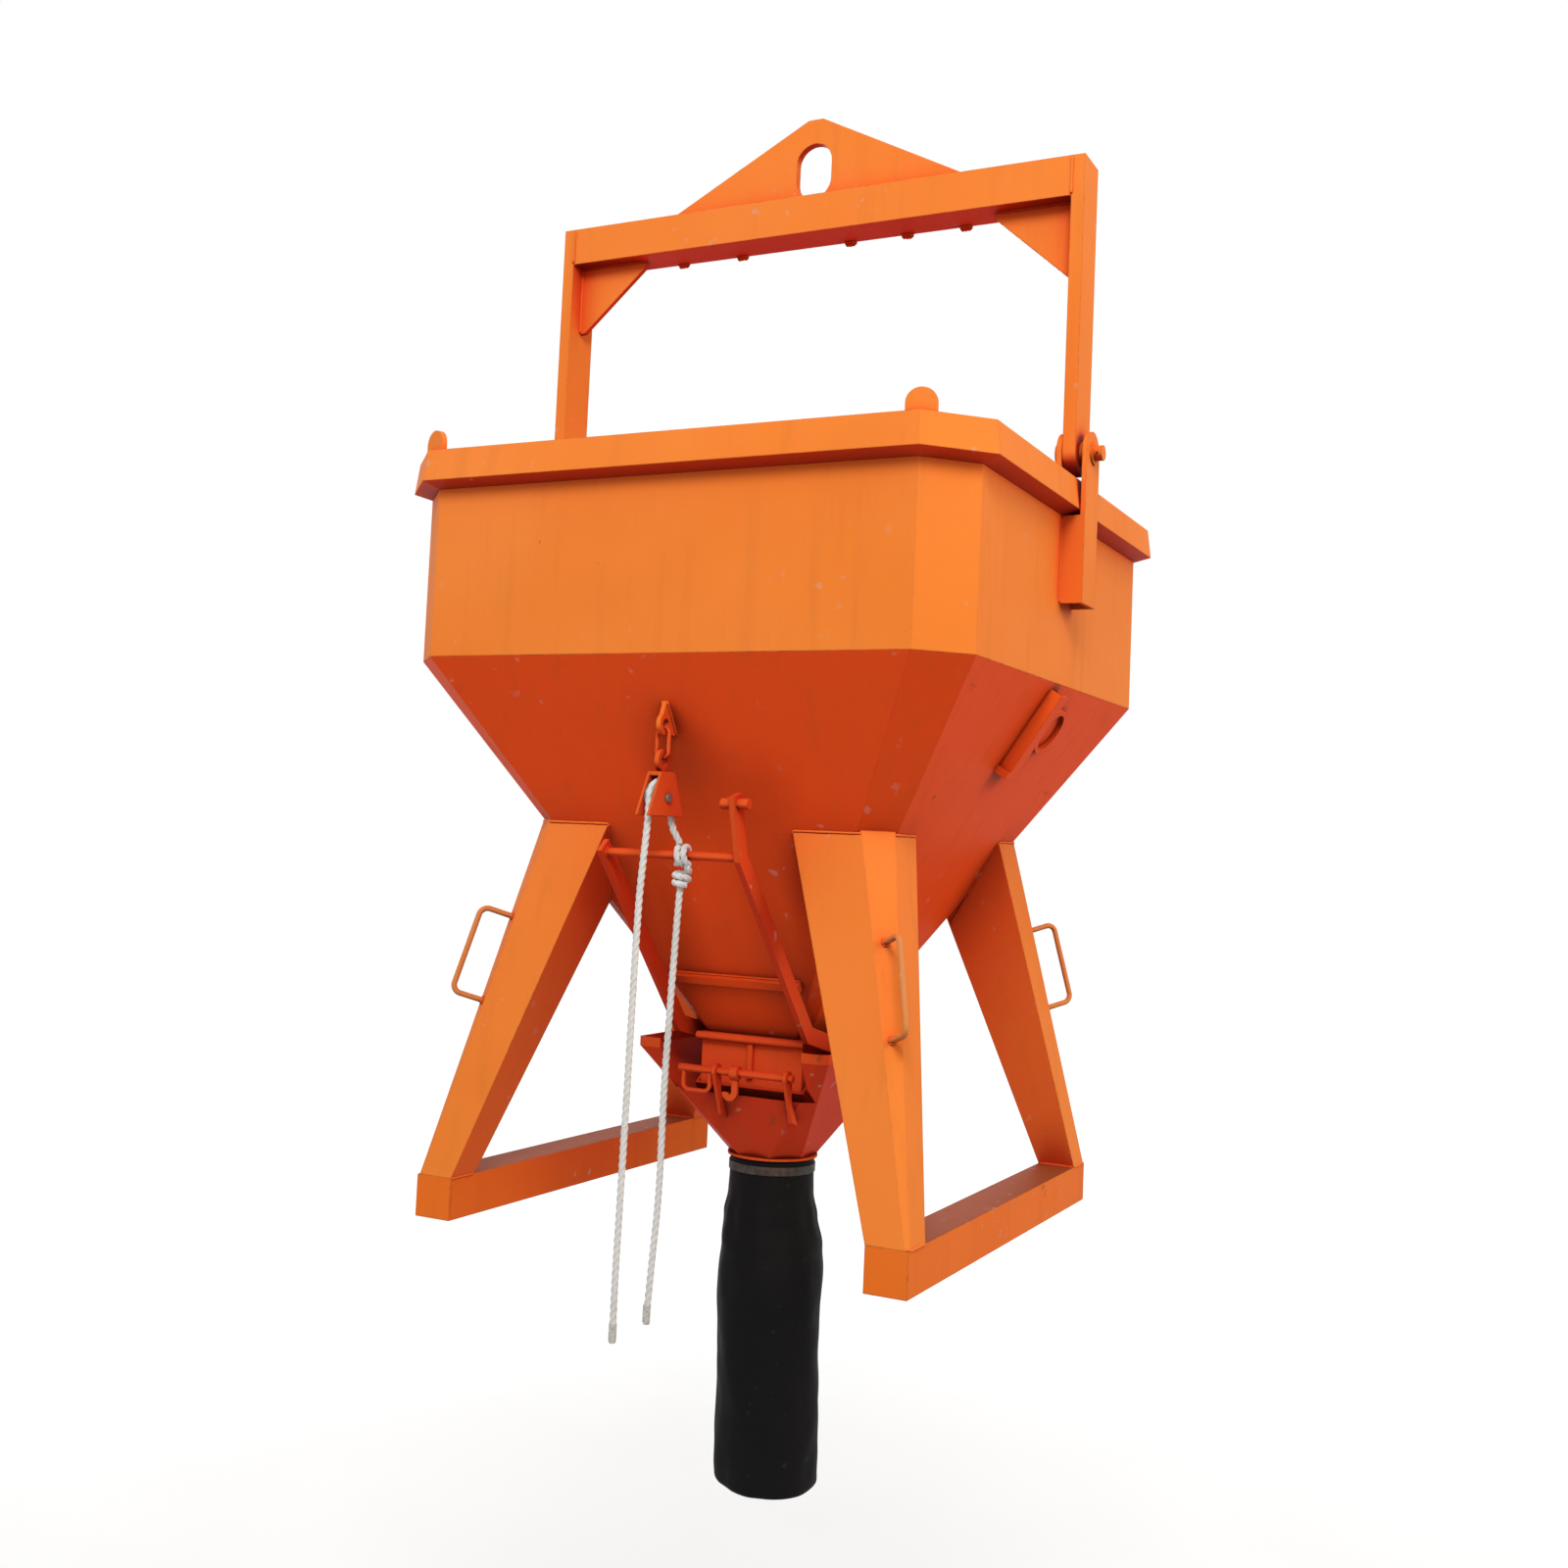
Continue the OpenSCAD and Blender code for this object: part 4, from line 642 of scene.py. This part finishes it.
# Gate, lever, latch and funnel: painted steel that the concrete runs over, so the most splashed. The
# crossbar and the hubs are welded to the flat lever arms, and the funnel hangs from the cone.
gate_paint = painted("orange_paint_gate", (0.77, 0.100, 0.017), (0.81, 0.120, 0.021), (0.66, 0.044, 0.012),
                     wear=0.5, dirt=0.5, cement=0.5)
dress(gate_paint, "discharge_funnel", "gate_sector", "gate_cheeks", "gate_hubs", "lever_arm_left",
      "lever_arm_right", "lever_crossbar", "lever_grip", "latch_lugs", "latch_shaft", "latch_hook",
      "latch_handle", "block_shell", "chain_link", "swivel_eye", "spigot")
gate_lines = []
for s in (-1, 1):
    gate_lines.append(ring_line((s * 147.5, -500, -1631), (1, 0, 0), 10))
    gate_lines.append(ring_line((s * 147.5, 0, -2036), (1, 0, 0), 24.5, 40))
gate_lines.append(ring_line((147.5, -530, -1528), (1, 0, 0), 12))
gate_beads = mesh_piece("weld_beads_lever", *bead(gate_lines, 0.003))
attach(gate_beads, "gate")
gate_beads.data.materials.append(gate_paint)

# Grab handles: 12 mm round bar bent to a bow, and welded with a bead round each end to the leg's nose.
# Gloves and slings have rubbed the paint thin.
handle_paint = painted("orange_paint_handles", (0.76, 0.235, 0.055), (0.68, 0.270, 0.100), (0.66, 0.200, 0.055),
                       wear=0.8)
dress(handle_paint, "grab_handles")

tilt, root = math.radians(16.8), math.sqrt(2)
handle_lines = []
for sx in (-1, 1):
    for sy in (-1, 1):
        out = Vector((sx * math.cos(tilt) / root, sy * math.cos(tilt) / root, math.sin(tilt)))
        along = Vector((-sx * math.sin(tilt) / root, -sy * math.sin(tilt) / root, math.cos(tilt)))
        middle = Vector((sx * 447.98, sy * 439.61, -1866))
        for end in (-92.5, 92.5):
            handle_lines.append(ring_line(middle + along * end + out * 1.5, out, 7))
handle_beads = mesh_piece("weld_beads_handles", *bead(handle_lines, 0.0026))
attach(handle_beads, "hopper")
handle_beads.data.materials.append(body_paint)


# Bushes, trunnion pins, sheave and its pin: turned steel, dulled by weather, with some rust. The hose
# clamp is a rolled zinc-plated band that has gone dark, drawn tight by its bolt.
def bare_steel(name, colour, rust, rough):
    material = bpy.data.materials.new(name)
    material.use_nodes = True
    tree = material.node_tree
    shader = tree.nodes["Principled BSDF"]
    shader.inputs["Metallic"].default_value = 0.9
    marks = tree.nodes.new("ShaderNodeGroup")
    marks.node_tree = weather_and_shade
    marks.inputs["Wear"].default_value = 0.4
    place = tree.nodes.new("ShaderNodeTexCoord").outputs["Object"]
    spangle = noise_mask(tree, place, 90, 3, 0.35, 0.65)
    darker = tuple(0.72 * c for c in colour)
    tone = blended(tree, spangle, colour, darker)
    tone = blended(tree, sum_of(tree, "MULTIPLY", marks.outputs["Dirt"], rust), tone, (0.20, 0.075, 0.028))
    tone = blended(tree, sum_of(tree, "MULTIPLY", marks.outputs["Cement"], 0.7), tone, (0.50, 0.46, 0.40))
    tree.links.new(tone, shader.inputs["Base Color"])
    gloss = sum_of(tree, "ADD", rough, sum_of(tree, "MULTIPLY", spangle, 0.12))
    gloss = sum_of(tree, "ADD", gloss, sum_of(tree, "MULTIPLY", marks.outputs["Dirt"], 0.3))
    tree.links.new(gloss, shader.inputs["Roughness"])
    skin = tree.nodes.new("ShaderNodeBump")
    skin.inputs["Strength"].default_value = 0.25
    skin.inputs["Distance"].default_value = 0.001
    tree.links.new(spangle, skin.inputs["Height"])
    tree.links.new(marks.outputs["Round"], skin.inputs["Normal"])
    tree.links.new(skin.outputs["Normal"], shader.inputs["Normal"])
    return material


dress(bare_steel("turned_steel", (0.34, 0.31, 0.28), 0.7, 0.42), "bail_bushes", "trunnion_pins",
      "trunnion_washers", "trunnion_cotters", "sheave_pin", "sheave")
dress(bare_steel("dull_zinc", (0.065, 0.063, 0.060), 0.4, 0.55), "hose_clamp", "clamp_bolt")

# Stage: a plain pale floor well below the hanging bucket, which the camera sees as white with a soft
# shadow, and studio light from the front, the left and the back, with a warmer lamp on the right.
floor_half, floor_level = 30, -4.2
floor = mesh_piece("floor", [(x * floor_half, y * floor_half, floor_level)
                             for x, y in ((-1, -1), (1, -1), (1, 1), (-1, 1))], [(0, 1, 2, 3)])
pale = bpy.data.materials.new("pale_floor")
pale.use_nodes = True
tree = pale.node_tree
shader = tree.nodes["Principled BSDF"]
place = tree.nodes.new("ShaderNodeTexCoord").outputs["Object"]
tree.links.new(blended(tree, noise_mask(tree, place, 1.5, 4, 0.3, 0.7), (0.56, 0.56, 0.56), (0.54, 0.54, 0.54)),
               shader.inputs["Base Color"])
shader.inputs["Roughness"].default_value = 0.9
rays = tree.nodes.new("ShaderNodeLightPath")
seen = sum_of(tree, "MAXIMUM", rays.outputs["Is Camera Ray"], rays.outputs["Is Glossy Ray"])
seen = sum_of(tree, "MAXIMUM", seen, rays.outputs["Is Transmission Ray"])
shader.inputs["Emission Color"].default_value = (1, 1, 1, 1)
reach = tree.nodes.new("ShaderNodeVectorMath")
reach.operation = "LENGTH"
tree.links.new(place, reach.inputs[0])
lift = tree.nodes.new("ShaderNodeMapRange")
lift.interpolation_type = "SMOOTHSTEP"
lift.inputs["From Min"].default_value = 4.2
lift.inputs["From Max"].default_value = 9.0
lift.inputs["To Min"].default_value = 0.46
lift.inputs["To Max"].default_value = 0.77
tree.links.new(reach.outputs["Value"], lift.inputs["Value"])
tree.links.new(sum_of(tree, "MULTIPLY", seen, lift.outputs["Result"]), shader.inputs["Emission Strength"])
floor.data.materials.append(pale)

world = bpy.data.worlds.new("studio")
world.use_nodes = True
scene.world = world
tree = world.node_tree
sky = tree.nodes["Background"]
rays = tree.nodes.new("ShaderNodeLightPath")
seen = sum_of(tree, "MAXIMUM", rays.outputs["Is Camera Ray"], rays.outputs["Is Glossy Ray"])
seen = sum_of(tree, "MAXIMUM", seen, rays.outputs["Is Transmission Ray"])
tree.links.new(blended(tree, seen, (0.42, 0.42, 0.42), (1.0, 1.0, 1.0)), sky.inputs["Color"])
sky.inputs["Strength"].default_value = 1.0


def lamp(name, place, aim, size, power, tint=(1, 1, 1)):
    light = bpy.data.lights.new(name, "AREA")
    light.color = tint
    light.shape = "DISK"
    light.size = size
    light.energy = power
    holder = bpy.data.objects.new(name, light)
    scene.collection.objects.link(holder)
    holder.location = place
    holder.rotation_euler = (Vector(aim) - Vector(place)).to_track_quat("-Z", "Y").to_euler()


bucket_middle = (0, 0, -1.3)
lamp("key_light", (2.4, -4.8, 2.6), bucket_middle, 2.6, 265)
lamp("side_light", (5.2, 0.6, 0.6), bucket_middle, 3.0, 105, (1.0, 0.88, 0.66))
lamp("left_light", (-4.6, -3.4, 1.2), bucket_middle, 3.4, 72)
lamp("back_light", (-2.6, 5.2, 2.0), bucket_middle, 3.4, 110)
